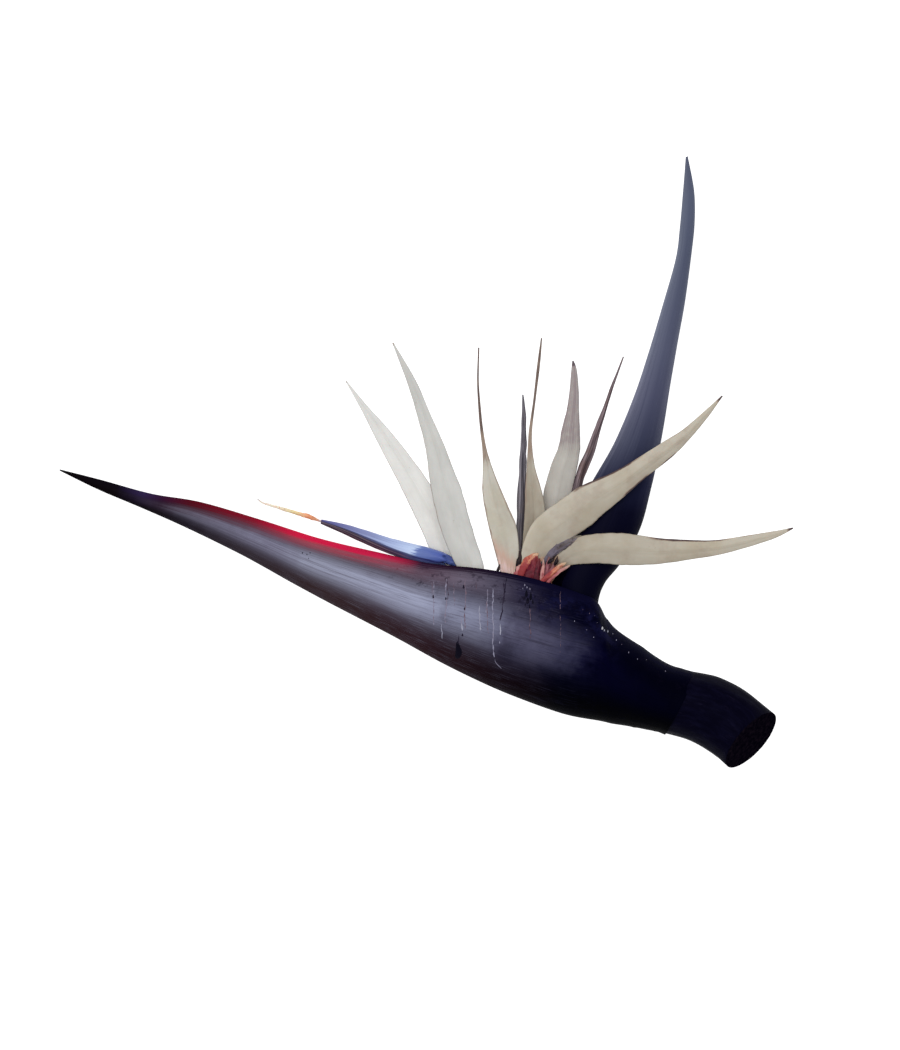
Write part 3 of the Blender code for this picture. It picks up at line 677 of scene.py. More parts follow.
# %% The lower bract's lining and margin
def paint_lining():
    lining = Finish("bract_lining", Specular_IOR_Level=0.15, Roughness=0.45)
    fibres = lining.noise("UV", (90.0, 6.0, 1.0), detail=6.0)
    pale = lining.ramp(lining.axis("Y"), LINING_COLOURS)
    dark = lining.mix(0.55, pale, tint(70, 12, 30))
    lining.relief(fibres, 0.4, 0.5)
    return lining.done(lining.coat(dark, pale, fibres, 0.3, 0.7))


def paint_margin():
    margin = Finish("bract_margin", Specular_IOR_Level=0.12, Roughness=0.5)
    grains = margin.noise("Object", 220.0, detail=4.0)
    edge = margin.ramp(margin.axis("Y"), MARGIN_COLOURS)
    margin.relief(grains, 0.3, 0.4)
    return margin.done(margin.coat(edge, tint(30, 12, 22), grains, 0.5, 0.7, 0.4))


LOWER_LEAF = make_lower_bract()

# %% [markdown]
# ## The upper bract
# The second bract stands behind the open flowers. It is still closed: its two margins meet in one
# groove down the side that faces the flowers, the near margin a little over the far one. It is
# the same folded leaf, but shut, so here the grid is rolled into a closed form and welded.

# %% Rows of the upper bract
# Upper bract, from its tip down to its root on the core:
# (slit x, slit y, keel x, keel y, middle z, half width)
UPPER_BRACT = [
    (161.8, 189.4, 163.1, 190.0, 8.0, 0.5),
    (160.3, 168.3, 167.1, 168.3, 8.0, 2.2),
    (158.4, 146.6, 167.4, 148.5, 8.3, 3.6),
    (155.9, 126.8, 165.5, 129.9, 8.8, 5.0),
    (147.9, 98.3, 161.5, 100.1, 10.0, 7.6),
    (139.2, 69.1, 156.2, 71.0, 11.3, 9.8),
    (129.9, 41.2, 151.3, 42.5, 12.1, 12.0),
    (118.0, 12.7, 146.6, 13.3, 13.5, 14.35),
    (102.6, -14.6, 140.4, -15.8, 16.6, 15.2),
    (93.3, -36.3, 133.6, -40.6, 19.5, 14.8),
    (87.7, -54.9, 121.2, -62.9, 22.5, 13.2),
    (82.8, -72.2, 111.3, -75.3, 25.0, 11.3),
    (82.2, -85.9, 107.2, -87.2, 26.0, 10.4),
    (88.4, -99.5, 107.4, -98.3, 26.3, 8.8),
    (105.0, -125.0, 116.5, -119.0, 26.5, 7.0),
]
UPPER_GRID = (112, 200)
UPPER_FULLNESS = 1.2
UPPER_DENTS = ((0.3, 0.9, 2.0, 31.0), (0.08, 0.5, 24.0, 7.0))  # height, waves along and across, seed
LIP_SIDE = 0.95  # where the skin turns in from the lip to the groove's floor
LIP_WIDTH = 1.6
LIP_SHARE = 0.35
LIP_OVERLAP = 0.7  # how far the near margin stands over the far one
LIP_OUT = 0.4  # shares of that overlap away from the keel and up from the table
LIP_UP = 0.5
LIP_RISE = (0.72, 0.95)  # sides between which the near margin rises, and falls again
LIP_FALL = (0.96, 1.0)
GROOVE_DEPTH = 4.0
GROOVE_SHARE = 0.3


# %% Bend the upper bract
def groove_point(row, side, lip):
    """A place on the skin that turns in between the two margins."""
    sink = (abs(side) - LIP_SIDE) / (1.0 - LIP_SIDE)
    groove = min(GROOVE_DEPTH, GROOVE_SHARE * row_depth(row)) * smooth(sink, 0.0, 1.0)
    top, keel = row_ends(row)
    return top - (top - keel).normalized() * groove + to_side(lip * (1.0 - sink), side)


def upper_bract_skin(u, v):
    side, place, row = on_leaf(UPPER_BRACT, u, v)
    lip = min(LIP_WIDTH, LIP_SHARE * row[5])
    if abs(side) <= LIP_SIDE:
        dent = layered_grain(place, side, *UPPER_DENTS) * min(row[5] / DENT_FULL, 1.0)
        point, height = boat_point(row, side / LIP_SIDE, lip, UPPER_FULLNESS, dent)
    else:
        point, height = groove_point(row, side, lip), 1.0
    if side < 0.0:
        away = Vector((row[0] - row[2], row[1] - row[3], 0.0)).normalized()
        near_edge = smooth(-side, *LIP_RISE) * (1.0 - smooth(-side, *LIP_FALL))
        point = point + (away * LIP_OUT + UP * LIP_UP) * LIP_OVERLAP * near_edge * min(lip, 1.0)
    return point, (side, (1.0 - height) / 2.0)


# %% Colours along the upper bract
# From its tip at 0 to its root at 1: (place, red, green, blue)
UPPER_SHADE = (
    (0.0, 82, 86, 104), (0.1, 82, 88, 108), (0.22, 76, 81, 101), (0.36, 78, 81, 102), (0.43, 70, 72, 94),
    (0.5, 52, 55, 76), (0.56, 24, 26, 49), (0.62, 6, 6, 25), (1.0, 2, 2, 14),
)
# A lighter bloom along the margin, with a painted highlight ridge beside it
UPPER_BLOOM_AND_SHEEN = (
    (0.0, 100, 104, 118), (0.2, 112, 117, 132), (0.36, 112, 115, 132), (0.44, 112, 113, 132),
    (0.5, 96, 98, 116), (0.57, 48, 50, 75), (0.64, 10, 9, 31), (1.0, 4, 3, 18),
)
# From the groove at 0 to the keel at 1: (place, share of the lighter bloom and painted sheen)
UPPER_FLANK = (
    (0.0, 1.0), (0.06, 1.0), (0.13, 0.5), (0.3, 0.3), (0.55, 0.0), (0.8, 0.05), (0.93, 0.4), (1.0, 0.3),
)


def paint_upper_bract():
    skin = Finish("upper_bract_skin", Specular_IOR_Level=0.015)
    along = skin.axis("Y")
    fibres = skin.noise("UV", (60.0, 4.0, 1.0), detail=7.0, rough=0.65, shift=(5.0, 2.0, 0.0))
    threads = skin.noise("UV", (300.0, 7.0, 1.0), detail=4.0, rough=0.6)
    scratches = skin.noise("UV", (120.0, 40.0, 1.0), detail=3.0, rough=0.7, warp=0.6)
    shade = skin.ramp(along, UPPER_SHADE)
    bloom_and_sheen = skin.ramp(along, UPPER_BLOOM_AND_SHEEN)
    flank = skin.ramp(skin.attribute("depth"), UPPER_FLANK)
    # Painted sheen: the lighter colour is laid mostly along the groove's margin, a little near the keel
    colour = skin.mix(skin.times(flank, skin.step(fibres, 0.25, 0.7, 0.6, 1.1)), shade, bloom_and_sheen)
    colour = skin.coat(colour, bloom_and_sheen, threads, 0.55, 0.75, 0.3)
    colour = skin.coat(colour, skin.mix(0.35, shade, tint(14, 14, 34)), threads, 0.42, 0.25, 0.35)
    colour = skin.coat(colour, skin.mix(0.4, shade, tint(20, 20, 44)), fibres, 0.45, 0.3, 0.35)
    worn = skin.times(skin.step(scratches, 0.68, 0.78), skin.step(along, 0.62, 0.45, 0.0, 0.35))
    skin.feed("Roughness", skin.step(fibres, 0.3, 0.7, 0.52, 0.42))
    skin.relief(skin.mix(0.5, fibres, threads), 0.5, 0.45)
    return skin.done(skin.mix(worn, colour, tint(150, 152, 162)))


def make_upper_bract():
    bm = bmesh.new()
    bend_grid(bm, *UPPER_GRID, upper_bract_skin, ("side", "depth"), closed=True)
    add_piece("upper_bract_leaf", bm, [paint_upper_bract()], "bract_skin", "upper_bract")


make_upper_bract()

# %% [markdown]
# ## Round pieces that taper
# The stalk's core, the ovaries, the style, dried tongues and strands of torn flesh are all tapering
# tubes. One function rolls a grid round a line of centres, and a small "form" function gives each its own
# ridges and creases, so a dried tongue and a swollen ovary share nothing but the way they are laid out.

# %% Roll a tube along its rows
LEAST_RADIUS = 0.12  # so that a tube keeps a whole ring of points at its tip


def tube_point(rows, place, angle, share=1.0, least=LEAST_RADIUS, flat=1.0):
    """A place round the line of centres; flat below 1 presses the tube towards the table."""
    x, y, z, radius = row_at(rows, place)
    run = run_at(rows, place).normalized()
    across = UP.cross(run).normalized()
    lift = run.cross(across)
    spoke = across * math.cos(angle) + lift * math.sin(angle) * flat
    return Vector((x, y, z)) + spoke * (max(radius, least) * share)


def roll_tube(bm, rows, columns, rings, form, measures=()):
    """form(angle, v) gives the radius's share and the measures stored there."""
    last = len(rows) - 1.0

    def bend(u, v):
        angle = 2.0 * math.pi * u
        share, values = form(angle, v)
        return tube_point(rows, v * last, angle, share), values

    bend_grid(bm, columns, rings, bend, measures, closed=True)


# %% [markdown]
# ## The stalk
# The stalk is oval and nearly black. Inside the sheath it goes on as a slimmer core, whose blunt
# end carries the flowers, and outside it ends in a slanting cut. The cut has dried dark, with the ends
# of the fibres standing out a little. All of it is one rolled grid, ring after ring from the middle of the
# cut to the end of the core.

# %% Rows of the stalk and its core
# Stalk, from the neck to its cut end: (upper x, upper y, lower x, lower y, middle z, half width)
STALK = [
    NECK,
    (181.4, -133.6, 161.5, -172.1, 22.9, 21.5),
    (198.1, -142.0, 176.4, -180.1, 21.4, 21.6),
    (216.5, -156.5, 188.8, -190.0, 20.8, 21.5),
]
# (x, y, z, radius) of the core, whose blunt inner end carries the flowers
CORE = [
    (156.2, -149.1, 24.0, 17.2),
    (144.2, -145.4, 24.5, 16.5),
    (130.5, -139.4, 25.2, 15.4),
    (119.0, -134.5, 26.0, 13.5),
    (111.5, -131.5, 26.5, 10.5),
    (107.5, -129.8, 26.5, 7.0),
    (105.5, -129.0, 26.5, 2.5),
]
STALK_COLUMNS = 96
STALK_PLACES = [2.4 - 2.2 * i / 39 for i in range(40)]
CORE_PLACES = [(len(CORE) - 1.0) * i / 29 for i in range(1, 30)]
STALK_RIDGES = ((0.25, 5.0, 0.5, 0.0), (0.3, 1.2, 1.4, 8.0))  # height, waves round and along, shift
SHOULDER_GAP = 0.3

# %% Measures of the cut
CUT_REACH = 9.0  # the cut reaches this much further on the side that faces the table
CUT_RINGS = (0.02, 0.2, 0.38, 0.55, 0.7, 0.84, 0.93, 0.975)  # shares of the cut's radius
CUT_ROUGHNESS = 0.35
CUT_PITCH = 0.5  # waves of its grain in a millimetre
CUT_BOWL = 0.6  # how far its middle lies in
CUT_ROUNDING = 0.8
CUT_RIM = (0.93, 1.0)  # share of the radius over which its rim is rounded
RIM_CUT = 0.6  # the outermost ring counts as cut by this much
CUT_FACE = 0.7  # a face whose points are cut by more than this shows dried fibres


# %% Bend the stalk
def oval_point(row, angle, share=1.0):
    upper, lower = row_ends(row)
    middle = (upper + lower) / 2.0
    return middle + (lower - middle) * math.cos(angle) * share + UP * row[5] * math.sin(angle) * share


def cut_point(angle, share):
    """A point on the slanting cut, rough with the ends of fibres."""
    end = STALK[-1]
    point = oval_point(end, angle, share)
    slant = (end[4] - point.z) / end[5]
    rough = CUT_ROUGHNESS * grain(*(point * CUT_PITCH)) * (1.0 - share ** 6)
    bowl = -CUT_BOWL * (1.0 - share * share)
    rim = -CUT_ROUNDING * smooth(share, *CUT_RIM)
    return point + neck_direction() * (CUT_REACH * slant + rough + bowl + rim)


def stalk_point(angle, place):
    row = row_at(STALK, place)
    point = oval_point(row, angle)
    middle = Vector(((row[0] + row[2]) / 2.0, (row[1] + row[3]) / 2.0, row[4]))
    ridge = sum(height * round_grain(angle, waves, place * along + shift)
                for height, waves, along, shift in STALK_RIDGES)
    return point + (point - middle).normalized() * ridge


def stem_rings():
    """One function for each ring, from the middle of the cut to the end of the core."""
    shoulder = neck_direction() * SHOULDER_GAP
    step = 1.0 - (NECK[5] - CORE[0][3]) / NECK[5]
    rings = [lambda a, s=share: (cut_point(a, s), 1.0) for share in CUT_RINGS]
    rings.append(lambda a: (cut_point(a, 1.0), RIM_CUT))
    rings += [lambda a, p=place: (stalk_point(a, p), 0.0) for place in STALK_PLACES]
    rings += [lambda a, s=share: (oval_point(NECK, a, s) + shoulder, 0.0) for share in (1.0, step)]
    rings += [lambda a, p=place: (tube_point(CORE, p, a), 0.0) for place in CORE_PLACES]
    return rings


def paint_stalk():
    skin = Finish("stalk_skin", Specular_IOR_Level=0.01)
    fibres = skin.noise("UV", (50.0, 8.0, 1.0), detail=7.0, rough=0.65)
    streaks = skin.noise("UV", (160.0, 10.0, 1.0), detail=4.0, shift=(2.0, 7.0, 0.0))
    colour = skin.coat(tint(4, 3, 17), tint(13, 12, 33), fibres, 0.4, 0.75, 0.6)
    skin.feed("Roughness", skin.step(fibres, 0.3, 0.7, 0.55, 0.42))
    skin.relief(skin.mix(0.4, fibres, streaks), 0.5, 0.4)
    return skin.done(skin.coat(colour, tint(52, 44, 68), streaks, 0.6, 0.8, 0.3))


def paint_cut():
    cut = Finish("dried_cut", Specular_IOR_Level=0.0, Roughness=0.9)
    grains = cut.noise("Object", 420.0, detail=5.0, rough=0.7)
    cut.relief(grains, 0.3, 0.5)
    return cut.done(cut.coat(tint(3, 2, 9), tint(20, 14, 22), grains, 0.4, 0.7))


def make_stem():
    rings = stem_rings()
    last = len(rings) - 1

    def bend(u, v):
        point, cut = rings[round(v * last)](2.0 * math.pi * u)
        return point, (cut,)

    bm = bmesh.new()
    cut = bm.verts.layers.float.new("cut")
    bend_grid(bm, STALK_COLUMNS, last, bend, ("cut",), closed=True)
    for face in bm.faces:
        mean_cut = sum(vert[cut] for vert in face.verts) / len(face.verts)
        face.material_index = int(mean_cut > CUT_FACE)
    add_piece("cut_stalk", bm, [paint_stalk(), paint_cut()], "stalk_skin", "stem")


make_stem()

# %% [markdown]
# ## Flower bases
# Each open flower stands on a fleshy ovary that rises from the stalk's core inside the bract. Little of
# them shows past the bract's margin, but they are seen from above. They are moist, cream to pink, with
# soft ribs along them.

# %% Ovaries
# Ovaries, from the core to the flower's seat: (x, y, z, radius)
OVARIES = {
    "flower_1_ovary": [
        (110.0, -138.5, 27.0, 3.5), (98.0, -142.0, 26.5, 4.0), (84.0, -143.0, 24.5, 4.6),
        (58.0, -131.5, 22.5, 5.8), (38.5, -114.0, 22.0, 6.8), (32.6, -101.5, 22.0, 7.2),
        (32.5, -97.5, 22.0, 7.4), (32.5, -93.6, 22.0, 7.5)],
    "flower_2_ovary": [
        (108.0, -130.0, 21.5, 3.5), (97.0, -130.5, 21.5, 4.0), (86.0, -129.5, 23.0, 4.8),
        (72.0, -118.5, 25.5, 6.0), (61.0, -103.0, 27.0, 6.8), (59.2, -94.5, 27.0, 7.2),
        (59.2, -91.0, 27.0, 7.4), (59.2, -87.6, 27.0, 7.5)],
    "flower_3_ovary": [
        (108.0, -130.5, 32.0, 3.4), (98.0, -128.0, 31.5, 3.8), (90.5, -120.0, 29.5, 4.5),
        (82.5, -108.0, 27.0, 5.6), (75.6, -95.0, 26.0, 6.5), (75.0, -91.5, 26.0, 6.8),
        (75.0, -89.5, 26.0, 6.9), (75.0, -87.6, 26.0, 7.0)],
}
OVARY_GRID = (48, 90)
RIB_HEIGHT = 0.05
RIB_COUNT = 6.0
RIB_TWIST = 2.0
SWELLING = 0.05
# From the core at 0 to the seat at 1: (place, red, green, blue)
OVARY_COLOURS = ((0.0, 196, 176, 140), (0.5, 206, 172, 140), (0.8, 204, 128, 112), (1.0, 176, 60, 66))


def paint_flower_base():
    flesh = Finish("flower_base_flesh", Roughness=0.35, Specular_IOR_Level=0.4, Subsurface_Weight=0.15,
                   Subsurface_Scale=0.002)
    ribs = flesh.noise("UV", (9.0, 2.0, 1.0), detail=6.0)
    blotches = flesh.noise("Object", 160.0, detail=4.0)
    ground = flesh.ramp(flesh.axis("Y"), OVARY_COLOURS)
    colour = flesh.coat(ground, tint(168, 74, 72), ribs, 0.4, 0.7, 0.5)
    flesh.relief(ribs, 0.5, 0.5)
    return flesh.done(flesh.coat(colour, tint(120, 60, 48), blotches, 0.58, 0.72, 0.6))


def ovary_form(angle, v):
    ribs = RIB_HEIGHT * math.cos(RIB_COUNT * angle + RIB_TWIST * v)
    return 1.0 + ribs + SWELLING * round_grain(angle, 2.0, v * 7.0), ()


BASE_FLESH = paint_flower_base()
for ovary, rows in OVARIES.items():
    ovary_mesh = bmesh.new()
    roll_tube(ovary_mesh, rows, *OVARY_GRID, ovary_form)
    add_piece(ovary + "_flesh", ovary_mesh, [BASE_FLESH], "flower_base", ovary)

# %% [markdown]
# ## Sepals
# Each flower opens three long pointed sepals. A sepal is a thin blade: it bows across, has a soft fold
# along its middle, waves a little at its edges and ends in a dry point. So each one is a grid laid
# along its rows, then given a thin wall that is finer still at the edges. The same function makes
# all nine and the short blue petal at the first flower's base. What differs is in the rows and in a short
# list of where each blade has browned.

# %% Rows of the sepals
# Sepals: (cup, lean, rows from the ovary to the tip), each row (x, y, z, half width).
# Cup bows the middle of the blade by a share of the half width, and lean tilts the blade sideways.
SEPALS = {
    "flower_1_sepal_left": (-0.12, 0.0, [
        (31.5, -93.0, 19.6, 2.8), (29.0, -84.0, 19.0, 3.6), (21.7, -72.5, 17.4, 5.6),
        (13.3, -58.6, 15.4, 8.3), (7.8, -42.5, 14.6, 9.4), (0.3, -27.0, 14.2, 9.2),
        (-12.4, -5.3, 14.0, 7.4), (-26.4, 16.4, 14.0, 5.0), (-37.5, 32.6, 14.2, 2.3),
        (-49.3, 49.9, 14.5, 0.4)]),
    "flower_1_sepal_front": (0.18, 0.1, [
        (33.5, -93.0, 27.3, 2.8), (32.6, -84.0, 27.4, 3.6), (30.4, -74.0, 27.8, 6.2),
        (28.0, -64.8, 28.6, 7.9), (22.9, -52.1, 30.6, 8.9), (17.8, -36.9, 32.2, 9.4),
        (13.5, -20.2, 33.4, 9.2), (10.2, -8.4, 33.8, 7.9), (5.6, 9.6, 34.0, 5.7), (-0.9, 28.2, 33.6, 4.0),
        (-8.2, 48.3, 32.6, 2.8), (-20.2, 73.5, 31.0, 0.4)]),
    "flower_1_sepal_back": (-0.06, 0.0, [
        (33.5, -93.0, 16.3, 2.6), (32.6, -84.0, 15.4, 3.2), (28.6, -67.0, 13.6, 5.0),
        (21.5, -45.0, 10.4, 6.8), (14.5, -20.0, 8.2, 6.6), (7.5, 5.0, 6.6, 4.6), (0.0, 27.0, 5.4, 2.6),
        (-11.0, 52.0, 4.6, 0.4)]),
    "flower_2_sepal_left": (-0.2, 0.15, [
        (55.0, -87.0, 29.6, 2.8), (54.0, -78.0, 29.7, 3.6), (51.9, -67.3, 30.0, 5.6),
        (51.0, -58.0, 30.4, 7.2), (48.2, -42.5, 31.2, 8.3), (44.3, -30.1, 31.8, 7.2),
        (40.8, -17.7, 32.0, 5.6), (38.6, -5.3, 32.0, 3.1), (36.6, 7.1, 31.8, 1.35),
        (34.8, 19.5, 31.4, 0.95), (33.6, 31.9, 31.0, 0.8), (32.5, 50.0, 30.6, 0.55),
        (33.0, 70.5, 30.4, 0.4)]),
    "flower_2_sepal_upright": (-0.15, 0.0, [
        (60.5, -87.0, 26.3, 2.6), (61.2, -78.0, 26.6, 3.4), (64.5, -62.0, 27.6, 5.0),
        (66.8, -46.0, 28.6, 6.3), (67.8, -30.0, 29.4, 6.2), (66.7, -17.7, 30.0, 5.0),
        (65.4, -5.3, 30.4, 2.8), (64.8, 7.1, 30.6, 1.5), (65.1, 19.5, 30.8, 1.0),
        (67.5, 38.0, 31.1, 0.75), (70.1, 60.0, 31.3, 0.9), (71.9, 76.4, 31.6, 0.4)]),
    "flower_2_sepal_wide": (0.14, -0.08, [
        (63.0, -87.0, 32.4, 2.8), (63.2, -78.0, 32.8, 3.6), (63.8, -67.0, 33.6, 5.2),
        (67.6, -55.0, 34.8, 8.0), (73.8, -45.6, 35.6, 10.4), (80.2, -40.6, 36.2, 11.6),
        (94.4, -30.7, 37.0, 11.8), (102.2, -24.7, 37.2, 11.2), (119.4, -14.1, 37.4, 8.2),
        (132.6, -4.7, 37.2, 6.4), (149.4, 7.1, 36.4, 5.4), (161.3, 16.7, 35.4, 3.6),
        (173.3, 28.8, 34.2, 2.1), (183.8, 40.6, 33.0, 0.4)]),
    "flower_3_sepal_upright": (0.18, 0.1, [
        (74.5, -87.0, 22.8, 2.6), (74.6, -78.0, 22.8, 3.2), (76.0, -60.0, 22.4, 5.0),
        (78.5, -40.0, 21.8, 7.6), (81.5, -22.0, 21.4, 8.5), (85.5, -5.3, 21.0, 8.1),
        (89.0, 7.1, 20.6, 6.8), (90.2, 19.5, 20.2, 5.6), (91.5, 31.9, 19.8, 3.8), (92.3, 44.3, 19.4, 2.8),
        (92.2, 56.7, 19.0, 1.7), (91.5, 62.6, 18.8, 0.4)]),
    "flower_3_sepal_level": (0.08, 0.1, [
        (74.0, -87.0, 30.8, 2.4), (74.0, -79.0, 31.0, 2.7), (77.5, -70.5, 31.6, 3.0),
        (84.0, -62.4, 33.0, 4.6), (90.0, -57.6, 34.8, 7.0), (97.7, -54.9, 37.2, 8.6),
        (108.2, -53.9, 39.0, 9.2), (120.0, -54.2, 39.4, 9.8), (130.5, -54.9, 38.8, 9.3),
        (145.4, -55.5, 37.2, 7.9), (165.2, -54.6, 35.2, 5.9), (180.1, -53.4, 33.6, 4.7),
        (197.5, -49.9, 31.8, 3.7), (216.1, -45.4, 29.6, 2.2), (227.8, -41.3, 28.4, 0.4)]),
    "flower_3_sepal_back": (0.16, 0.0, [
        (74.5, -87.0, 19.6, 2.4), (74.6, -78.0, 19.2, 2.8), (77.0, -58.0, 16.0, 4.0),
        (80.5, -35.0, 12.6, 5.6), (84.5, -12.0, 10.0, 5.6), (88.5, 8.0, 8.4, 3.8), (90.5, 26.0, 7.2, 2.0),
        (91.5, 42.0, 6.4, 0.4)]),
    "flower_1_short_petal": (0.3, 0.0, [
        (38.0, -93.0, 23.4, 1.4), (38.6, -88.0, 23.4, 2.4), (39.4, -80.0, 23.2, 2.8),
        (39.0, -72.0, 22.8, 1.6), (38.2, -67.0, 22.6, 0.4)]),
}

# %% [markdown]
# Each blade has aged in its own way and lies in its own shade, in three lists of shares. A blush is the
# coloured foot of the blade: (start, end, side), strongest at its start. Grey is painted shade on blades
# that lie in shadow, partly their own greying: (at its foot, at its tip, more on side 1 than on -1).
# A scorch is a browned stretch: (side, start, end, reach, strength). Side is -1 or 1 for one edge and 0
# for the whole width, start and end are shares of the length, and reach is how far it comes in from
# the edge.

# %% How the sepals have aged and lie in shade: blush, painted grey shade and scorches
AGEING_AND_SHADE = {
    "flower_1_sepal_left": ((0.05, 0.3, 0.0), (0.02, 0.3, 0.0), [
        (0, 0.99, 1.0, 1.0, 0.4), (1, 0.3, 0.97, 0.07, 0.3)]),
    "flower_1_sepal_front": ((0.05, 0.28, 0.0), (0.5, 0.56, 0.06), [
        (0, 0.99, 1.0, 1.0, 0.4), (1, 0.35, 0.97, 0.08, 0.5), (-1, 0.6, 0.98, 0.08, 0.35)]),
    "flower_1_sepal_back": ((0.05, 0.3, 0.0), (0.3, 0.2, 0.0), [
        (0, 0.97, 1.0, 1.0, 0.6)]),
    "flower_2_sepal_left": ((0.12, 0.34, -1.2), (0.34, 0.26, -0.05), [
        (0, 0.58, 1.0, 1.0, 0.62), (0, 0.69, 1.0, 1.0, 0.85), (-1, 0.3, 0.66, 0.2, 0.4),
        (1, 0.12, 0.62, 0.12, 0.6), (1, 0.16, 0.32, 0.3, 0.2), (-1, 0.1, 0.3, 0.16, 0.3)]),
    "flower_2_sepal_upright": ((0.1, 0.26, 0.0), (0.95, 0.5, 0.1), [
        (0, 0.55, 1.0, 1.0, 0.55), (0, 0.72, 1.0, 1.0, 0.8), (1, 0.35, 0.65, 0.3, 0.45),
        (-1, 0.4, 0.65, 0.2, 0.45)]),
    "flower_2_sepal_wide": ((0.13, 0.23, 0.4), (0.62, 0.48, -0.1), [
        (0, 0.97, 1.0, 1.0, 1.0), (1, 0.5, 0.72, 0.17, 1.3), (-1, 0.6, 0.71, 0.19, 1.3),
        (-1, 0.73, 0.79, 0.16, 1.2), (1, 0.78, 0.97, 0.16, 0.5), (-1, 0.8, 0.97, 0.14, 0.5),
        (-1, 0.2, 0.6, 0.1, 0.35)]),
    "flower_3_sepal_upright": ((0.1, 0.25, 0.0), (0.5, 0.32, 0.1), [
        (0, 0.5, 1.0, 1.0, 0.4), (-1, 0.35, 0.95, 0.1, 0.5), (0, 0.93, 1.0, 1.0, 0.95),
        (1, 0.5, 1.0, 0.12, 0.7)]),
    "flower_3_sepal_level": ((0.12, 0.24, -0.6), (0.86, 0.44, -0.08), [
        (0, 0.97, 1.0, 1.0, 1.0), (1, 0.6, 0.83, 0.24, 1.2), (-1, 0.66, 0.95, 0.1, 0.5),
        (1, 0.84, 0.97, 0.2, 0.5), (1, 0.3, 0.55, 0.1, 0.35), (0, 0.17, 0.27, 1.0, 0.2),
        (1, 0.26, 0.36, 0.9, 0.22)]),
    "flower_3_sepal_back": ((0.1, 0.25, 0.0), (0.5, 0.4, 0.0), [
        (0, 0.9, 1.0, 1.0, 0.8)]),
    "flower_1_short_petal": ((0.0, 0.2, 0.0), (0.0, 0.0, 0.0), [
        (0, 0.8, 1.0, 1.0, 0.3)]),
}
SCORCH_GRAIN = ((0.35, 2.0, 40.0, 3.0), (0.2, 8.0, 120.0, 5.0))  # height, waves across and along, seed
SHADE_AND_GREY_GRAIN = ((0.1, 1.5, 12.0, 21.0), (0.05, 5.0, 40.0, 23.0))
BLUSH_GRAIN = (0.25, 3.0, 25.0, 12.0)
SCORCH_SOFT = 0.25  # the share of a scorch's length over which it fades
SCORCH_SPILL = 0.3  # and the share of that which lies outside


# %% Brown, blush and grey at a place on the blade
def scorched(node, side, v):
    """How brown the blade is there, from 0 to 1, with a ragged border."""
    ragged = layered_grain(side, v, *SCORCH_GRAIN)
    most = 0.0
    for edge, start, end, reach, strength in AGEING_AND_SHADE[node][2]:
        soft = SCORCH_SOFT * (end - start)
        inside = smooth(v, start - SCORCH_SPILL * soft, start + soft)
        if end < 1.0:
            inside *= 1.0 - smooth(v, end - soft, end + SCORCH_SPILL * soft)
        if edge:
            inside *= smooth(edge * side + 0.1 * ragged, 1.0 - reach, 1.0 - 0.25 * reach)
        most = max(most, min(inside * (1.0 + ragged), 1.0) * strength)
    return most


def blushed(node, side, v):
    start, end, lean = AGEING_AND_SHADE[node][0]
    ragged = layered_grain(side, v, BLUSH_GRAIN)
    return (1.0 - smooth(v + lean * 0.05 * side + 0.1 * ragged, start, end)) * (1.0 + ragged)


# Painted shade: how far the blade is darkened and greyed where it lies in shadow, partly its own greying
def shaded_and_greyed(node, side, v):
    foot, tip, more = AGEING_AND_SHADE[node][1]
    return foot + (tip - foot) * v + more * side + layered_grain(side, v, *SHADE_AND_GREY_GRAIN)


# %% Measures of a blade
SEPAL_GRID = (26, 150)
SEPAL_WALL = 1.2
EDGE_SHARE = 0.3  # the wall's share at the edges
LEAST_WALL = 0.2
SLIM_HALF = 2.0  # half width below which the wall thins with the blade
SEAT_NORMAL = Vector((0.0, 1.0, 0.0))  # sepals stand square on the ovary
LEAST_HALF = 0.25
GROWN_HALF = 6.0  # half width from which folds and waves have their full height
GROWN_ROWS = (0.4, 2.0)
FOLD_HEIGHT = 0.35
FOLD_SPREAD = 0.2
BLADE_RIB = 0.04
BLADE_RIB_WAVES = 15.0
WAVE_HEIGHT = 0.5
EDGE_WANDER = 0.03
SHRIVEL = 0.3


# %% Bend a sepal
def name_seed(name, spread):
    """A number below spread that stays the same for a name."""
    return sum(map(ord, name)) % spread


def across_blade(rows, place):
    """The level direction across the blade, square to the seat at its foot."""
    run = run_at(rows, place)
    run = Vector((run.x, run.y, 0.0)).normalized()
    return UP.cross(run.lerp(SEAT_NORMAL, max(0.0, 1.0 - place)).normalized())


def blade_relief(side, place, phase, bent):
    """Fold along the middle, ribs and waving edges."""
    fold = FOLD_HEIGHT * bell(side, 0.0, FOLD_SPREAD) * math.copysign(1.0, bent)
    ribs = BLADE_RIB * math.sin(side * BLADE_RIB_WAVES + phase) * (1.0 - side * side)
    wave = WAVE_HEIGHT * side * side * grain(place * 1.5, math.copysign(3.0, side), phase)
    return fold + ribs + wave


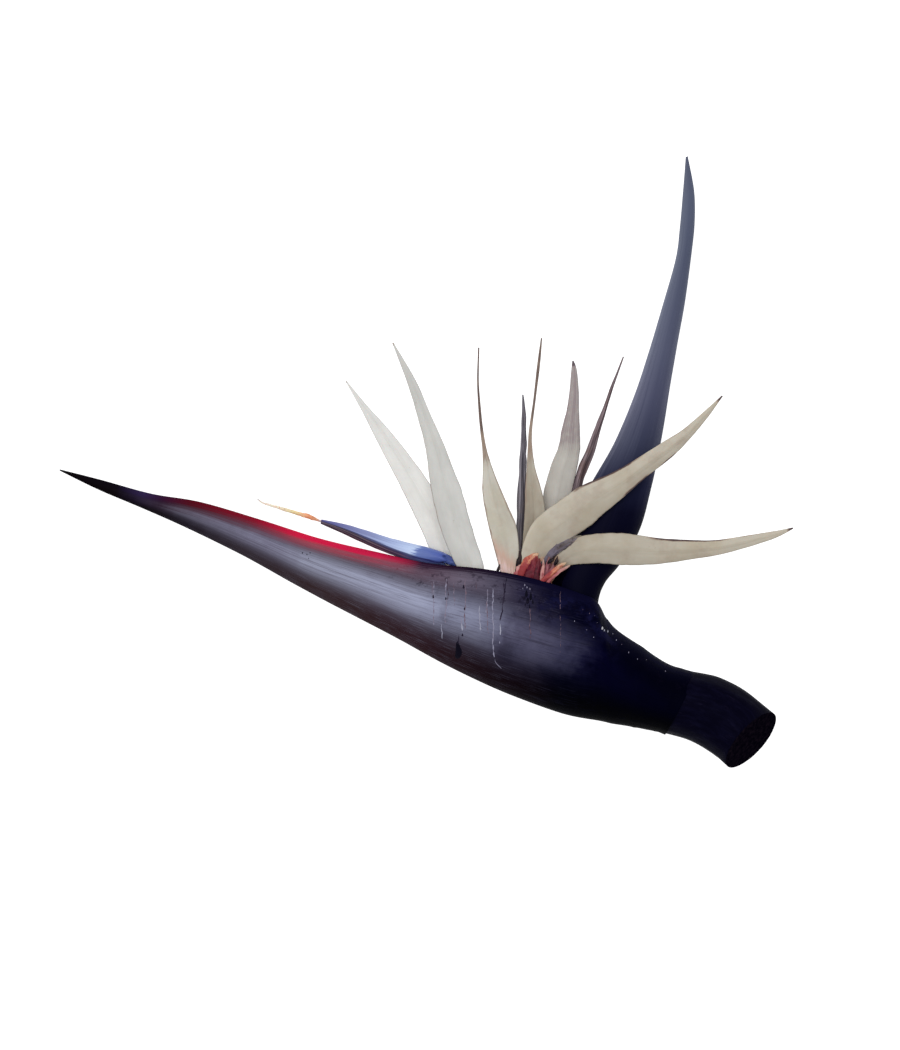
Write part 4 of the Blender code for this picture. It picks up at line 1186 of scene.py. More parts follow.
def blade_bend(node):
    cup, lean, rows = SEPALS[node]
    phase = name_seed(node, 17)

    def bend(u, v):
        side, place, (x, y, z, half) = on_leaf(rows, u, v)
        half = max(half, LEAST_HALF)
        grown = min(half / GROWN_HALF, 1.0) * smooth(place, *GROWN_ROWS)
        bow = cup * half * (1.0 - side * side) - lean * half * side
        brown = scorched(node, side, v)
        shrivel = SHRIVEL * brown * grain(side * 3.0, v * 90.0, phase) * grown
        lift = bow + blade_relief(side, place, phase, cup) * grown + shrivel
        wander = EDGE_WANDER * grain(place * 3.0, math.copysign(5.0, side), phase + 2.0)
        edge = 1.0 + wander * side * side
        wall = (EDGE_SHARE + (1.0 - EDGE_SHARE) * (1.0 - side ** 6)) * min(1.0, half / SLIM_HALF)
        point = Vector((x, y, z + lift)) + across_blade(rows, place) * side * half * edge
        return point, (max(wall, LEAST_WALL), brown, blushed(node, side, v), shaded_and_greyed(node, side, v))

    return bend


def make_sepal(node, finish, slot):
    bm = bmesh.new()
    bend_grid(bm, *SEPAL_GRID, blade_bend(node), ("wall", "scorch", "blush", "grey"))
    piece = add_piece(node + "_blade", bm, [finish], slot, node)
    give_wall(piece, SEPAL_WALL, 0.0)


# %% [markdown]
# ### The finish of the sepals
# The fresh flower is a cool white, the older ones are cream and have begun to dry. Fine veins run
# from foot to tip, so the noise that draws them is stretched along V. The stored "scorch" turns the blade
# tan and then brown, and the stored "blush" turns its foot pink or coral. A little light goes through so
# thin a blade, which a small amount of subsurface scattering gives.

# %% Colours of the sepals
DRYING = ((146, 128, 114), (80, 64, 62))
VIOLET_DRYING = ((136, 122, 124), (84, 72, 78))
OLD_FOOT = (146, 66, 60)
# How much of it is stained, then its pale, deep, vein, blush and foot colours, and its tan and brown
SEPAL_COLOURS = {
    "fresh_sepal": (
        0.0, (232, 230, 226), (222, 220, 216), (204, 202, 194), (222, 212, 200), (208, 180, 164), *DRYING),
    "old_sepal": (
        0.32, (212, 204, 189), (199, 187, 166), (183, 170, 149), (204, 160, 130), OLD_FOOT, *DRYING),
    "old_sepal_pale_foot": (
        0.2, (208, 203, 192), (198, 191, 174), (180, 170, 153), (190, 160, 144), (216, 188, 182), *DRYING),
    "old_sepal_violet_tip": (
        0.0, (208, 204, 196), (194, 189, 180), (176, 169, 162), (204, 172, 154), OLD_FOOT, *VIOLET_DRYING),
}
# Across the blade, from one edge at 0 to the other at 1: (place, strength of the line)
# The middle line is partly the midrib vein and partly painted shade along the blade's fold
MIDRIB_AND_FOLD_SHADE = ((0.42, 0.0), (0.49, 0.2), (0.51, 0.2), (0.58, 0.0))
RIM = ((0.0, 0.8), (0.022, 0.0), (0.978, 0.0), (1.0, 0.8))


# %% Paint a sepal
def paint_sepal(name, stain, *colours):
    pale, deep, vein, blush, foot, tan, brown = [tint(*colour) for colour in colours]
    blade = Finish(name, Roughness=0.55, Specular_IOR_Level=0.15, Subsurface_Weight=0.04,
                   Subsurface_Scale=0.001)
    across = blade.axis("X")
    veins = blade.noise("UV", (26.0, 2.0, 1.0), detail=6.0, rough=0.6)
    fine = blade.noise("UV", (110.0, 5.0, 1.0), detail=3.0, shift=(4.0, 0.0, 0.0))
    clouds = blade.noise("Object", 38.0, detail=5.0, rough=0.6)
    flecks = blade.noise("Object", 420.0, detail=3.0, rough=0.6)
    stains = blade.noise("Object", 70.0, detail=5.0, rough=0.6, shift=(0.0, 7.0, 0.0))
    colour = blade.coat(pale, deep, clouds, 0.38, 0.66)
    colour = blade.coat(colour, vein, veins, 0.48, 0.75, 0.4)
    colour = blade.coat(colour, vein, fine, 0.55, 0.8, 0.25)
    # Painted fold shade down the middle, partly the midrib vein
    colour = blade.mix(blade.ramp(across, MIDRIB_AND_FOLD_SHADE), colour, vein)
    # Painted shade: the stored grey darkens blades that lie in shadow, partly their own greying
    colour = blade.mix(blade.attribute("grey"), colour, blade.mix(0.5, vein, tint(60, 58, 54)))
    colour = blade.coat(colour, tan, stains, 0.5, 0.68, stain)
    colour = blade.mix(blade.ramp(across, RIM), colour, blade.mix(0.6, vein, tint(72, 66, 64)))
    colour = blade.coat(colour, tan, flecks, 0.68, 0.75, 0.35)
    reach = blade.times(blade.attribute("blush"), blade.step(veins, 0.3, 0.6, 0.7, 1.15))
    colour = blade.coat(blade.coat(colour, blush, reach, 0.1, 0.6), foot, reach, 0.6, 1.0)
    dried = blade.ragged(blade.attribute("scorch"), veins, 0.12)
    blade.relief(blade.mix(0.4, veins, fine), 0.3, 0.35)
    return blade.done(blade.coat(blade.coat(colour, tan, dried, 0.08, 0.55), brown, dried, 0.55, 0.95))


# %% Make the nine sepals
SEPAL_SKINS = {name: paint_sepal(name, *colours) for name, colours in SEPAL_COLOURS.items()}
SEPAL_FINISHES = {
    "flower_2_sepal_left": "old_sepal_pale_foot",
    "flower_3_sepal_upright": "old_sepal_violet_tip",
    "flower_1_sepal_left": "fresh_sepal",
    "flower_1_sepal_front": "fresh_sepal",
    "flower_1_sepal_back": "fresh_sepal",
    "flower_2_sepal_upright": "old_sepal",
    "flower_2_sepal_wide": "old_sepal",
    "flower_3_sepal_level": "old_sepal",
    "flower_3_sepal_back": "old_sepal",
}
for sepal, skin_name in SEPAL_FINISHES.items():
    make_sepal(sepal, SEPAL_SKINS[skin_name], "fresh_sepal" if skin_name == "fresh_sepal" else "old_sepal")

# %% [markdown]
# ## The blue tongue
# Two petals of the fresh flower have grown together into a blue arrow with two backward barbs, and a
# channel along it holds the style. Its closed form is rolled from a grid like the upper bract. The
# short third petal stands at its foot. Blue petals are satin, with a painted highlight along the upper
# edge, navy where the channel is and a dry brown streak below.

# %% Rows of the tongue
# Blue tongue, from the ovary to its tip: (top x, top y, bottom x, bottom y, middle z, half width).
# The sudden widening makes the two backward barbs of the arrow shape.
TONGUE = [
    (34.3, -93.0, 30.6, -93.0, 23.4, 1.6),
    (33.8, -84.0, 30.2, -85.0, 23.4, 1.6),
    (29.8, -71.0, 27.0, -74.0, 22.8, 1.6),
    (22.0, -63.6, 20.2, -67.0, 22.2, 1.6),
    (10.0, -59.2, 9.4, -62.4, 21.6, 1.6),
    (12.4, -57.2, 11.6, -64.2, 21.6, 4.4),
    (6.0, -54.6, 4.6, -64.0, 21.3, 4.8),
    (-5.0, -51.6, -7.0, -62.6, 20.0, 4.8),
    (-20.0, -48.0, -22.0, -57.6, 18.6, 4.2),
    (-36.0, -42.9, -37.6, -51.2, 18.2, 3.4),
    (-51.0, -38.6, -52.2, -44.4, 18.2, 2.6),
    (-64.6, -35.9, -65.2, -38.7, 18.4, 1.6),
]
TONGUE_GRID = (64, 170)
CREASE_HEIGHT = 0.35
CREASED_HALF = 4.0  # half width from which the creases have their full height
CHANNEL_DEPTH = 2.2
CHANNEL_HALF = 0.9
CHANNEL_LIP = 0.5  # width of the channel's edge
CHANNEL_FLOOR = 0.9  # height left below the channel at the tongue's tip
CHANNEL_SIDE = 0.84  # where the skin turns down into the channel
CHANNEL_WALLS = (0.0, 0.7)  # shares of the way in over which it sinks, and then narrows
CHANNEL_BASE = (0.3, 1.0)
BARB_ROW = 5.0
BARB_SPREAD = 0.4
BARB_JAG = 1.7
BARB_ROUGHNESS = 1.2
BARB_RUN = Vector((0.93, -0.36, 0.0))  # from the tongue's tip towards its foot


# %% Bend the tongue
def torn_end(place, depth, side):
    """The barbs' backward ends are torn into points."""
    jag = BARB_JAG * math.cos(depth * 11.0 + 0.6 + side)
    jag += BARB_ROUGHNESS * grain(depth * 6.0, side * 2.0, 8.0)
    return BARB_RUN * jag * bell(place, BARB_ROW, BARB_SPREAD)


def tongue_skin(u, v):
    side, place, row = on_leaf(TONGUE, u, v)
    lip = min(CHANNEL_HALF + CHANNEL_LIP, row[5])
    if abs(side) <= CHANNEL_SIDE:
        crease = CREASE_HEIGHT * grain(place * 1.6, side * 5.0, 2.0) * min(row[5] / CREASED_HALF, 1.0)
        point, height = boat_point(row, side / CHANNEL_SIDE, lip, 1.0, crease)
        depth = (1.0 - height) / 2.0
        return point + torn_end(place, depth, side), (depth, side)
    sink = (abs(side) - CHANNEL_SIDE) / (1.0 - CHANNEL_SIDE)
    top, keel = row_ends(row)
    depth = min(CHANNEL_DEPTH, row_depth(row) - CHANNEL_FLOOR) * smooth(sink, *CHANNEL_WALLS)
    width = lip * (1.0 - smooth(sink, *CHANNEL_BASE))
    return top - (top - keel).normalized() * depth + to_side(width, side), (-sink, side)


# %% Colours of the tongue
# From its foot at 0 to its tip at 1: (place, red, green, blue)
TONGUE_UPPER = (
    (0.0, 104, 116, 164), (0.3, 66, 80, 144), (0.42, 44, 58, 130), (0.5, 70, 88, 158),
    (0.6, 84, 102, 162), (0.62, 94, 114, 172), (0.632, 180, 196, 226), (0.72, 156, 170, 208),
    (0.8, 128, 136, 178), (0.88, 104, 107, 156), (0.95, 84, 82, 140), (1.0, 60, 52, 104),
)
TONGUE_LOWER = (
    (0.0, 110, 112, 150), (0.36, 62, 72, 124), (0.5, 76, 92, 152), (0.62, 70, 76, 122), (0.7, 56, 44, 76),
    (0.8, 48, 34, 54), (0.95, 42, 28, 46), (1.0, 60, 46, 66),
)
# Where the upper colour ends, as a share of the depth: (place, share)
TONGUE_PARTING = ((0.45, 0.88), (0.55, 0.8), (0.64, 0.7), (0.73, 0.6), (0.86, 0.46), (1.0, 0.36))
# Pale fibres below that line: (depth past it, strength)
LIT_FIBRES = ((0.12, 0.0), (0.17, 1.0), (0.2, 0.0), (0.3, 0.0), (0.34, 0.8), (0.38, 0.0))


def paint_blue_petal():
    petal = Finish("blue_petal", Roughness=0.45, Specular_IOR_Level=0.25, Sheen_Weight=0.1)
    veins = petal.noise("UV", (30.0, 3.0, 1.0), detail=6.0)
    depth = petal.attribute("depth")
    along = petal.axis("Y")
    uneven = petal.plus(petal.ragged(along, veins, 0.025), petal.times(depth, -0.04))
    parting = petal.ramp(along, TONGUE_PARTING)
    past = petal.ragged(petal.math("SUBTRACT", depth, parting), veins, 0.04)
    colour = petal.ramp(uneven, TONGUE_UPPER)
    colour = petal.coat(colour, petal.ramp(along, TONGUE_LOWER), past, 0.0, 0.06)
    # Painted highlight: lighter along the upper edge
    colour = petal.coat(colour, tint(160, 168, 210), depth, 0.2, 0.0, 0.2)
    lit = petal.times(petal.ramp(past, LIT_FIBRES), petal.step(along, 0.6, 0.75, 0.0, 0.6))
    colour = petal.mix(lit, colour, tint(142, 116, 124))
    line = petal.times(petal.step(past, -0.09, -0.02), petal.step(past, 0.08, 0.02))
    colour = petal.mix(petal.times(line, 0.9), colour, tint(24, 26, 84))
    colour = petal.coat(colour, tint(22, 24, 66), depth, 0.0, -0.2)
    petal.relief(veins, 0.4, 0.5)
    return petal.done(petal.coat(colour, petal.mix(0.5, colour, tint(30, 36, 96)), veins, 0.52, 0.75, 0.4))


def make_tongue(finish):
    bm = bmesh.new()
    bend_grid(bm, *TONGUE_GRID, tongue_skin, ("depth", "side"), closed=True)
    add_piece("blue_tongue", bm, [finish], "blue_petal", "flower_1_tongue")


BLUE_PETAL = paint_blue_petal()
make_tongue(BLUE_PETAL)
make_sepal("flower_1_short_petal", BLUE_PETAL, "blue_petal")

# %% [markdown]
# ## Style and stigma
# The style runs in the tongue's channel and comes out as the long stigma, a swollen sticky point that
# catches pollen. It is orange where it leaves the tongue and cream towards its tip, with fine
# threads of dried sap that make it rough.

# %% Style
# Style, from the ovary through the tongue's channel out to the long stigma: (x, y, z, radius)
STYLE = [
    (33.1, -93.0, 23.4, 0.75),
    (32.6, -84.3, 23.4, 0.75),
    (29.2, -71.8, 22.8, 0.75),
    (21.6, -64.4, 22.2, 0.75),
    (12.4, -58.5, 21.6, 0.75),
    (5.8, -55.9, 21.3, 0.75),
    (-5.2, -52.9, 20.0, 0.75),
    (-20.3, -49.3, 18.6, 0.75),
    (-36.2, -44.1, 18.2, 0.75),
    (-51.2, -39.8, 18.2, 0.75),
    (-64.8, -37.0, 18.4, 0.75),
    (-67.2, -36.2, 18.5, 0.8),
    (-73.0, -33.9, 18.6, 1.45),
    (-79.0, -32.2, 18.7, 1.15),
    (-90.0, -28.9, 18.9, 0.95),
    (-100.6, -25.7, 19.1, 0.6),
    (-104.6, -23.0, 19.2, 0.15),
]
STYLE_GRID = (20, 300)
STIGMA_SHARES = (0.66, 0.7)  # shares of the length between which the style becomes the stigma
STIGMA_ROUGHNESS = 0.3
STIGMA_RIDGE = 0.1
# From the ovary at 0 to the stigma's tip at 1: (place, red, green, blue)
STIGMA_COLOURS = (
    (0.0, 220, 214, 196), (0.6, 200, 190, 190), (0.66, 190, 150, 140), (0.69, 206, 150, 116),
    (0.74, 226, 146, 104), (0.79, 230, 176, 134), (0.83, 222, 204, 150), (0.88, 234, 216, 192),
    (0.95, 230, 218, 204), (0.98, 150, 140, 136), (1.0, 76, 66, 68),
)


def paint_stigma():
    thread = Finish("stigma_thread", Roughness=0.5, Specular_IOR_Level=0.3, Subsurface_Weight=0.1,
                    Subsurface_Scale=0.001)
    along = thread.axis("Y")
    round_it = thread.axis("X")
    grains = thread.noise("Object", 700.0, detail=4.0)
    colour = thread.coat(thread.ramp(along, STIGMA_COLOURS), tint(186, 110, 76), grains, 0.52, 0.68, 0.6)
    under = thread.times(thread.step(round_it, 0.5, 0.62), thread.step(round_it, 0.85, 0.75))
    shaded = thread.times(under, thread.step(along, 0.82, 0.88, 0.0, 0.75))
    thread.relief(grains, 0.3, 0.6)
    return thread.done(thread.mix(shaded, colour, tint(92, 78, 72)))


def style_form(angle, v):
    stigma = smooth(v, *STIGMA_SHARES)
    rough = STIGMA_ROUGHNESS * stigma * round_grain(angle, 1.5, v * 60.0)
    return 1.0 + (rough + STIGMA_RIDGE * stigma * math.cos(3.0 * angle)), ()


def make_style():
    bm = bmesh.new()
    roll_tube(bm, STYLE, *STYLE_GRID, style_form)
    add_piece("style_and_stigma", bm, [paint_stigma()], "stigma", "flower_1_style")


make_style()

# %% [markdown]
# ## Dried tongues
# The older flowers' tongues have withered into crumpled rods. A rod of the same path and
# size is creased along its length, and the creases turn slowly round it, as a drying petal twists.

# %% Dried tongues
# Dried tongues of the older flowers: (x, y, z, radius)
DRIED_TONGUES = {
    "flower_2_tongue": [
        (58.5, -87.0, 21.9, 1.9), (58.3, -78.0, 21.8, 2.0), (58.0, -60.0, 21.7, 2.2),
        (58.9, -42.5, 22.0, 2.6), (59.5, -24.0, 22.8, 2.8), (60.0, -5.0, 23.6, 2.2),
        (60.6, 7.1, 24.2, 1.8), (60.9, 19.5, 24.6, 1.5), (61.0, 31.9, 25.0, 1.1),
        (60.4, 41.5, 25.2, 0.4)],
    "flower_3_tongue": [
        (77.0, -87.0, 26.6, 1.8), (77.8, -78.0, 26.7, 1.9), (81.0, -62.5, 27.0, 2.3),
        (87.5, -48.5, 27.4, 3.2), (90.6, -34.0, 27.4, 2.8), (93.4, -17.7, 27.0, 2.7),
        (97.2, -5.3, 26.6, 2.7), (102.1, 7.1, 26.0, 2.4), (106.3, 19.5, 25.4, 1.8),
        (110.8, 31.9, 24.8, 1.3), (115.0, 44.3, 24.2, 0.9), (119.7, 56.7, 23.6, 0.6),
        (122.8, 65.0, 23.2, 0.4)],
}
HUSK_GRID = (40, 220)
HUSK_FOLD = 0.12
HUSK_CRUMPLE = 0.3


def paint_dried_tongue(name, light, dark, warm):
    husk = Finish(name, Roughness=0.65, Specular_IOR_Level=0.25)
    creases = husk.noise("UV", (12.0, 3.0, 1.0), detail=7.0, rough=0.65, warp=0.3)
    clouds = husk.noise("Object", 120.0, detail=4.0)
    colour = husk.coat(dark, light, creases, 0.35, 0.65)
    colour = husk.coat(colour, warm, clouds, 0.5, 0.7, 0.6)
    husk.relief(creases, 0.5, 0.6)
    # Painted shade: darker in the troughs of the creases
    return husk.done(husk.coat(colour, dark, husk.attribute("crease"), 0.0, -0.8, 0.7))


def make_dried_tongue(node, finish, turns):
    def form(angle, v):
        twist = angle + turns * v
        fold = math.cos(3.0 * twist) + 0.6 * math.cos(5.0 * twist + 1.7)
        crumple = round_grain(twist, 1.6, v * 14.0)
        return 1.0 + (HUSK_FOLD * fold + HUSK_CRUMPLE * crumple), (fold / 1.6 + crumple,)

    bm = bmesh.new()
    roll_tube(bm, DRIED_TONGUES[node], *HUSK_GRID, form, ("crease",))
    add_piece(node + "_husk", bm, [finish], "dried_petal", node)


GREY_HUSK = paint_dried_tongue("grey_husk", tint(134, 128, 136), tint(48, 44, 54), tint(104, 92, 92))
BROWN_HUSK = paint_dried_tongue("brown_husk", tint(140, 122, 126), tint(52, 38, 44), tint(98, 74, 68))
make_dried_tongue("flower_2_tongue", GREY_HUSK, 2.2)
make_dried_tongue("flower_3_tongue", BROWN_HUSK, -1.6)

# %% [markdown]
# ## Torn flesh at the flower bases
# Where the older flowers push out of the bract, their feet are torn: a crimson lobe, coral and pink
# strands, a grey-brown shred of membrane and a few blackened bits. Each is a soft flattened strand
# with ragged ridges. Its row gives its path and its radius, and "flat" presses it towards the table.

# %% Strands and lobes: (colour, flat, rows of (x, y, z, radius))
STRANDS = {
    "crimson_lobe": ("crimson", 0.4, [
        (64.0, -84.0, 33.0, 3.0), (65.2, -75.0, 35.2, 4.6), (66.4, -67.0, 36.2, 4.2),
        (67.8, -61.0, 36.6, 2.4), (69.2, -57.8, 36.8, 0.5)]),
    "crimson_fold": ("dark_crimson", 0.5, [
        (67.5, -82.0, 34.0, 1.6), (68.4, -73.0, 36.6, 2.0), (69.6, -65.0, 37.6, 1.6),
        (70.6, -60.0, 37.6, 0.4)]),
    "crimson_back": ("dark_crimson", 0.6, [
        (70.0, -84.0, 29.0, 2.4), (70.8, -75.0, 31.4, 2.6), (71.4, -68.0, 33.0, 2.2),
        (72.0, -63.0, 33.6, 0.5)]),
    "torn_barb": ("torn_barb", 0.6, [
        (8.0, -58.8, 24.0, 1.5), (12.0, -60.6, 24.4, 1.9), (16.0, -62.2, 24.6, 1.7),
        (20.0, -63.8, 24.6, 1.2), (23.4, -65.0, 24.2, 0.3)]),
    "torn_barb_foot": ("torn_barb", 0.6, [
        (12.0, -58.2, 23.6, 1.0), (14.6, -59.8, 24.0, 1.5), (17.4, -61.6, 24.2, 1.3),
        (21.4, -63.2, 24.0, 0.3)]),
    "pink_stripe": ("pink", 0.7, [
        (71.2, -82.0, 34.0, 1.1), (72.0, -73.0, 36.4, 1.3), (72.8, -66.0, 36.8, 1.0),
        (73.0, -60.5, 36.6, 0.3)]),
    "mauve_strand": ("mauve", 0.6, [
        (75.0, -82.0, 33.4, 1.7), (76.2, -73.0, 35.6, 1.9), (78.6, -66.5, 36.4, 1.5),
        (80.6, -61.5, 36.4, 0.4)]),
    "mauve_strand_back": ("mauve", 0.6, [
        (73.5, -80.0, 33.0, 1.4), (74.6, -70.0, 34.6, 1.7), (76.0, -63.5, 35.2, 1.4),
        (76.6, -59.0, 35.2, 0.4)]),
    "orange_strand": ("coral", 0.75, [
        (68.6, -79.5, 35.0, 1.1), (72.8, -73.6, 37.6, 1.35), (78.0, -69.4, 38.4, 1.4),
        (83.0, -65.0, 38.2, 1.3), (87.0, -62.8, 37.6, 0.4)]),
    "rosy_strand": ("pink", 0.75, [
        (71.0, -80.5, 34.6, 1.0), (76.4, -73.8, 37.0, 1.1), (81.6, -69.0, 37.6, 1.2),
        (86.4, -66.0, 37.0, 0.9), (89.5, -64.4, 36.4, 0.3)]),
    "coral_lobe": ("coral", 0.35, [
        (58.4, -76.0, 33.6, 2.0), (60.6, -68.0, 35.0, 2.9), (63.8, -62.4, 36.0, 2.9),
        (67.4, -58.6, 36.6, 1.9), (70.0, -57.0, 36.8, 0.4)]),
    "pale_foot": ("pink", 0.35, [
        (55.0, -80.0, 32.0, 2.4), (57.6, -71.5, 33.8, 2.8), (58.4, -65.5, 34.4, 1.8),
        (58.8, -61.5, 34.6, 0.4)]),
    "grey_membrane": ("membrane", 0.2, [
        (70.5, -65.0, 33.2, 1.8), (76.0, -57.8, 34.4, 3.0), (83.6, -52.4, 35.4, 2.8),
        (91.0, -48.6, 36.0, 2.2), (96.5, -46.0, 36.2, 0.5)]),
    "brown_shred": ("blackened", 0.5, [
        (56.4, -72.0, 32.6, 1.0), (57.6, -63.0, 34.4, 1.5), (58.8, -59.0, 34.8, 1.3),
        (58.0, -55.4, 34.4, 0.3)]),
    # Two black bract shreds, which also stand in for the shade between the strands and the upper bract
    "dark_bract_fold": ("dark_bract", 0.5, [
        (77.5, -86.0, 26.0, 3.4), (80.6, -79.6, 28.6, 4.0), (84.6, -74.0, 30.0, 4.4),
        (89.6, -69.0, 30.6, 4.2), (94.5, -66.0, 30.4, 2.0)]),
    "dark_bract_fold_left": ("dark_bract", 0.5, [
        (70.0, -88.0, 24.0, 3.0), (74.0, -82.0, 27.0, 4.0), (78.0, -75.0, 28.6, 3.6),
        (81.0, -70.0, 29.0, 1.6)]),
    "black_shred": ("blackened", 0.7, [
        (44.3, -76.0, 29.0, 0.7), (44.6, -68.5, 30.6, 0.9), (45.4, -65.8, 30.8, 0.7),
        (45.9, -63.6, 30.8, 0.2)]),
    "dark_knot": ("blackened", 0.6, [
        (75.6, -63.4, 36.6, 0.4), (77.0, -61.8, 37.2, 1.1), (78.6, -61.0, 37.2, 0.9),
        (79.8, -60.4, 36.8, 0.3)]),
    "dark_knot_right": ("blackened", 0.6, [
        (79.6, -64.2, 37.0, 0.4), (80.8, -62.6, 37.6, 1.1), (81.4, -60.6, 37.4, 0.8),
        (81.6, -58.8, 36.8, 0.3)]),
}
STRAND_GRID = (24, 44)
STRAND_LEAST = 0.1
STRAND_RIDGES = ((0.45, 1.8, 5.0), (0.22, 5.0, 16.0))  # height, waves round and along

# %% Flesh colours
# How wet it looks, then its foot, ground, streak, dark and tip colours
FLESH_COLOURS = {
    "crimson": (0.15, (84, 12, 30), (92, 15, 33), (118, 32, 48), (56, 8, 20), (132, 58, 56)),
    "dark_crimson": (0.15, (66, 10, 26), (74, 12, 29), (98, 26, 42), (36, 6, 16), (104, 44, 48)),
    "pink": (0.15, (170, 92, 96), (198, 148, 142), (178, 104, 104), (130, 56, 64), (182, 152, 136)),
    "mauve": (0.15, (110, 42, 58), (132, 72, 84), (168, 112, 114), (84, 32, 46), (118, 88, 86)),
    "coral": (0.15, (142, 52, 56), (188, 104, 82), (204, 136, 104), (134, 50, 48), (202, 172, 142)),
    "membrane": (0.08, (104, 96, 108), (112, 104, 114), (94, 82, 80), (52, 44, 48), (108, 100, 88)),
    "blackened": (0.08, (30, 22, 26), (40, 30, 33), (62, 49, 49), (12, 9, 13), (56, 43, 43)),
    "torn_barb": (0.15, (62, 78, 142), (66, 82, 146), (92, 108, 166), (36, 44, 94), (70, 74, 118)),
    # Black bract, also standing in for shade
    "dark_bract": (0.0, (1, 1, 6), (2, 1, 8), (8, 5, 18), (1, 0, 4), (2, 1, 10)),
}


def paint_flesh(name, wet, *colours):
    foot, ground, streak, dark, tip = [tint(*colour) for colour in colours]
    flesh = Finish(name + "_flesh", Roughness=0.45, Specular_IOR_Level=wet, Subsurface_Weight=0.04,
                   Subsurface_Scale=0.001)
    lines = flesh.noise("UV", (8.0, 3.0, 1.0), detail=6.0, rough=0.65)
    spots = flesh.noise("Object", 380.0, detail=5.0, rough=0.65)
    patches = flesh.noise("Object", 150.0, detail=4.0)
    along = flesh.axis("Y")
    rooted = flesh.plus(along, flesh.step(patches, 0.35, 0.65, -0.15, 0.15))
    colour = flesh.coat(ground, streak, lines, 0.38, 0.66)
    colour = flesh.coat(colour, foot, rooted, 0.55, 0.3)
    colour = flesh.coat(colour, flesh.mix(0.5, colour, dark), patches, 0.42, 0.62, 0.6)
    colour = flesh.coat(colour, tip, flesh.ragged(along, lines, 0.15), 0.55, 1.0)
    flesh.relief(flesh.mix(0.5, lines, spots), 0.5, 0.7)
    return flesh.done(flesh.coat(colour, dark, spots, 0.52, 0.68, 0.75))


# %% Build the strands
FLESH = {name: paint_flesh(name, *colours) for name, colours in FLESH_COLOURS.items()}


def make_strand(name):
    colour, flat, rows = STRANDS[name]
    last = len(rows) - 1.0
    seed = name_seed(name, 23)

    def bend(u, v):
        angle = 2.0 * math.pi * u
        rough = 1.0
        for height, waves, along in STRAND_RIDGES:
            rough += height * round_grain(angle, waves, v * along, seed)
        return tube_point(rows, v * last, angle, rough, STRAND_LEAST, flat), ()

    bm = bmesh.new()
    bend_grid(bm, *STRAND_GRID, bend, closed=True)
    add_piece(name, bm, [FLESH[colour]], "flower_base")


for strand in STRANDS:
    make_strand(strand)

# %% [markdown]
# ## Dried sap on the flank
# Sap has run down from the flowers and dried: thin dark or whitish runs, a thick dark drop, a crust
# and pale specks near the neck. Each run is a low bead laid on the bract. A ray dropped on the bract's
# mesh finds the skin under every point of the bead, so the bead follows the leaf wherever it goes.

# %% Runs of sap: (x, top y, bottom y, lean in x, width, height, paleness)
SAP_RUNS = [
    (5.1, -72.0, -102.0, 0.0, 0.7, 0.12, 0.58), (4.2, -74.0, -86.0, 0.5, 0.5, 0.1, 0.5),
    (12.8, -70.0, -101.0, -0.3, 0.8, 0.14, 0.58), (13.6, -72.0, -86.0, 0.2, 0.6, 0.12, 0.34),
    (10.1, -98.8, -110.0, 0.0, 0.8, 0.2, 0.72), (24.6, -70.5, -104.5, -0.4, 0.8, 0.16, 0.5),
    (22.3, -99.0, -104.8, 0.6, 1.5, 0.2, 0.74), (33.5, -88.4, -105.0, 0.2, 0.8, 0.2, 0.7),
    (41.7, -76.0, -123.0, 0.6, 0.8, 0.2, 0.64), (42.6, -121.0, -128.5, 5.0, 0.7, 0.16, 0.62),
    (38.4, -78.0, -94.0, -0.6, 0.6, 0.14, 0.6), (48.6, -71.0, -99.5, -2.2, 0.9, 0.22, 0.22),
    (46.4, -99.5, -107.5, -0.3, 1.1, 0.24, 0.78), (49.8, -71.0, -84.6, -1.6, 0.8, 0.2, 0.16),
    (45.9, -111.0, -112.6, 0.0, 0.9, 0.3, 0.66), (64.6, -89.0, -107.6, 0.2, 0.8, 0.2, 0.42),
    (83.4, -76.0, -120.0, 0.0, 0.45, 0.08, 0.42), (20.6, -106.0, -114.0, -0.5, 1.0, 0.2, 0.2),
    (17.6, -72.0, -90.0, 0.3, 0.5, 0.1, 0.5), (22.0, -92.0, -103.0, 0.5, 0.9, 0.12, 0.62),
    (38.0, -84.0, -107.0, 0.9, 0.7, 0.12, 0.5), (31.0, -71.0, -80.0, 0.4, 0.6, 0.12, 0.4),
]
